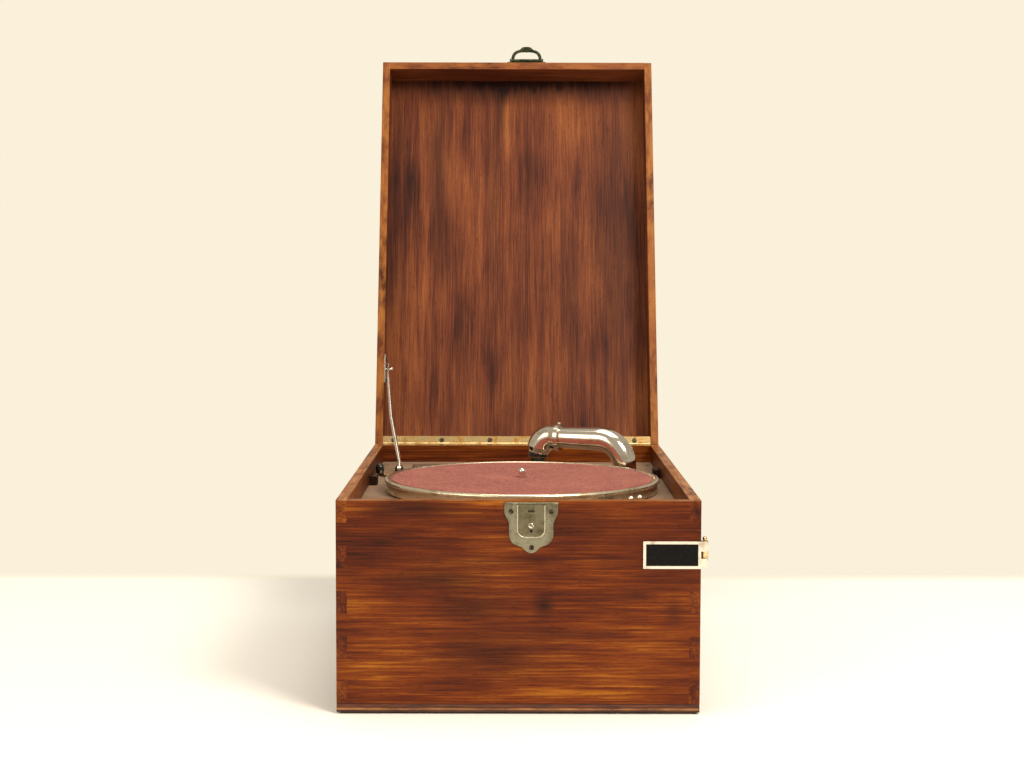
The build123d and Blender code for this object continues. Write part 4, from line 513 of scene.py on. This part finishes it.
def lock_trim():
    """A painted highlight as a bright strip along the lock box's edge, the barrel's face, and its slot and the
    key's square hole as dark pieces of painted shade.
    """
    box_x, half, face = lock_x, 11.2 * mm, front_y - 3.0 * mm
    high, low, turn_r = rim_z - 3.5 * mm, rim_z - 30.1 * mm, 6.6 * mm
    points = [(-half, high)]
    points += [(-half + turn_r - turn_r * math.cos(t), low + turn_r - turn_r * math.sin(t))
               for t in (math.pi / 2 * i / 8 for i in range(9))]
    points += [(-x, z) for x, z in reversed(points)]
    # painted highlight: a bright tube laid along the lock box's front edge and round its lower corners
    line = bpy.data.curves.new("lock_box_painted_highlight", "CURVE")
    line.dimensions = "3D"
    line.bevel_depth = 0.55 * mm
    line.bevel_resolution = 3
    line.use_fill_caps = True
    path = line.splines.new("POLY")
    path.points.add(len(points) - 1)
    for point, (x, z) in zip(path.points, points):
        point.co = (box_x + x, face + 0.1 * mm, z, 1.0)
    edge = bpy.data.objects.new("lock_box_painted_highlight", line)
    bpy.context.scene.collection.objects.link(edge)
    line.materials.append(finishes["lock_edge_highlight"])
    key_z = rim_z - 20.4 * mm
    work = bmesh.new()
    bmesh.ops.create_cone(work, cap_ends=True, segments=40, radius1=2.5 * mm, radius2=2.1 * mm, depth=0.5 * mm,
                          matrix=Matrix.Translation((box_x, face - 0.2 * mm, key_z))
                          @ Matrix.Rotation(math.radians(90), 4, "X"))
    barrel = solid_of("lock_barrel_face", work)
    barrel.data.materials.append(finishes["nickel"])
    # painted shade: flat black pieces on the barrel and the box stand for the slot and the key's square hole
    work = bmesh.new()
    tilted = Matrix.Translation((box_x, face - 0.45 * mm, key_z)) @ Matrix.Rotation(math.radians(35), 4, "Y")
    bmesh.ops.create_cube(work, size=1.0, matrix=tilted @ Matrix.Diagonal((3.9 * mm, 0.1 * mm, 0.9 * mm, 1.0)))
    hole = Matrix.Translation((box_x, face - 0.06 * mm, key_z - 4.4 * mm))
    bmesh.ops.create_cube(work, size=1.0, matrix=hole @ Matrix.Diagonal((2.1 * mm, 0.2 * mm, 2.5 * mm, 1.0)))
    bmesh.ops.bevel(work, geom=work.edges[:], offset=0.04 * mm, segments=2, affect="EDGES")
    dark = solid_of("lock_slot_and_key_hole_painted_shade", work)
    dark.data.materials.append(finishes["black_panel"])
    for piece, finish in ((edge, "lock_nickel"), (barrel, "nickel"), (dark, "black_panel")):
        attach(piece, "case")


felt_mat()
lock_trim()
soft_copy("foot_pads", "felt_feet", "case", "pad_felt", 0.5 * mm)
soft_copy("brake_pad", "leather_brake_pad", "brake", "pad_leather", 0.4 * mm)

# Floor, light and camera
floor_mesh = bpy.data.meshes.new("floor")
reach = 14.0
floor_mesh.from_pydata([(-reach, -reach, 0), (reach, -reach, 0), (reach, reach, 0), (-reach, reach, 0)], [],
                       [(0, 1, 2, 3)])
floor = bpy.data.objects.new("floor", floor_mesh)
bpy.context.scene.collection.objects.link(floor)
paper, paper_tree, paper_shader = blank("white_table_paper")
ground = add(paper_tree, "ShaderNodeTexCoord").outputs["Object"]
far = add(paper_tree, "ShaderNodeSeparateXYZ", {"Vector": ground}).outputs["Y"]
tint = blend(paper_tree, "MIX", spread(paper_tree, far, 0.40, 0.45), "fbf9f4", "f5ead2")
paper_tree.links.new(tint, paper_shader.inputs["Base Color"])
glow = add(paper_tree, "ShaderNodeEmission", {"Color": colour("fdf3dd"), "Strength": 0.98})
away = add(paper_tree, "ShaderNodeVectorMath", {0: ground}, operation="LENGTH").outputs["Value"]
edge = add(paper_tree, "ShaderNodeMath", {0: spread(paper_tree, far, 0.40, 0.44),
           1: spread(paper_tree, away, 0.9, 2.4)}, operation="MAXIMUM").outputs[0]
both = add(paper_tree, "ShaderNodeMixShader", {0: edge, 1: paper_shader.outputs[0], 2: glow.outputs[0]})
paper_tree.links.new(both.outputs[0], paper_tree.nodes["Material Output"].inputs["Surface"])
paper_shader.inputs["Roughness"].default_value = 0.8
paper_shader.inputs["Specular IOR Level"].default_value = 0.2
floor_mesh.materials.append(paper)


def soft_light(name, place_at, target, size, power, tone):
    """A large square light that faces a point."""
    lamp = bpy.data.lights.new(name, "AREA")
    lamp.size = size
    lamp.energy = power
    lamp.color = colour(tone)[:3]
    made = bpy.data.objects.new(name, lamp)
    made.location = place_at
    made.rotation_euler = (Vector(target) - Vector(place_at)).to_track_quat("-Z", "Y").to_euler()
    bpy.context.scene.collection.objects.link(made)


soft_light("key_light", (1.35, -1.75, 2.0), (0, 0.05, 0.2), 0.9, 62.0, "fff4e4")
soft_light("fill_light", (-1.9, -1.9, 1.3), (0, 0, 0.2), 1.6, 22.0, "fff2de")
soft_light("top_light", (0.1, -0.1, 2.7), (0, 0, 0), 1.8, 34.0, "fffaf0")

world = bpy.data.worlds.new("pale_room")
bpy.context.scene.world = world
world.use_nodes = True
backdrop = world.node_tree.nodes["Background"]
seen = add(world.node_tree, "ShaderNodeLightPath").outputs["Is Camera Ray"]
strength = add(world.node_tree, "ShaderNodeMapRange", {"Value": seen, "To Min": 0.5, "To Max": 0.98})
world.node_tree.links.new(strength.outputs[0], backdrop.inputs["Strength"])
backdrop.inputs["Color"].default_value = colour("fdf3dd")

camera = bpy.data.objects.new("camera", bpy.data.cameras.new("camera"))
bpy.context.scene.collection.objects.link(camera)
camera.data.sensor_width = 36.0
camera.data.sensor_fit = "HORIZONTAL"
camera.data.lens = 64.105
camera.data.clip_start = 0.05
camera.data.clip_end = 60.0
pitch, yaw, roll = math.radians(4.147), math.radians(0.048), math.radians(0.123)
level = Vector((math.sin(yaw), math.cos(yaw), 0))
side = Vector((math.cos(yaw), -math.sin(yaw), 0))
up = Vector((0, 0, 1))
ahead = level * math.cos(pitch) - up * math.sin(pitch)
over = up * math.cos(pitch) + level * math.sin(pitch)
axis_x = side * math.cos(roll) + over * math.sin(roll)
axis_y = over * math.cos(roll) - side * math.sin(roll)
turned = Matrix((axis_x, axis_y, -ahead)).transposed().to_4x4()
camera.matrix_world = Matrix.Translation((-0.0068, -1.7017, 0.3812)) @ turned
bpy.context.scene.camera = camera
bpy.context.scene.view_settings.view_transform = "Standard"
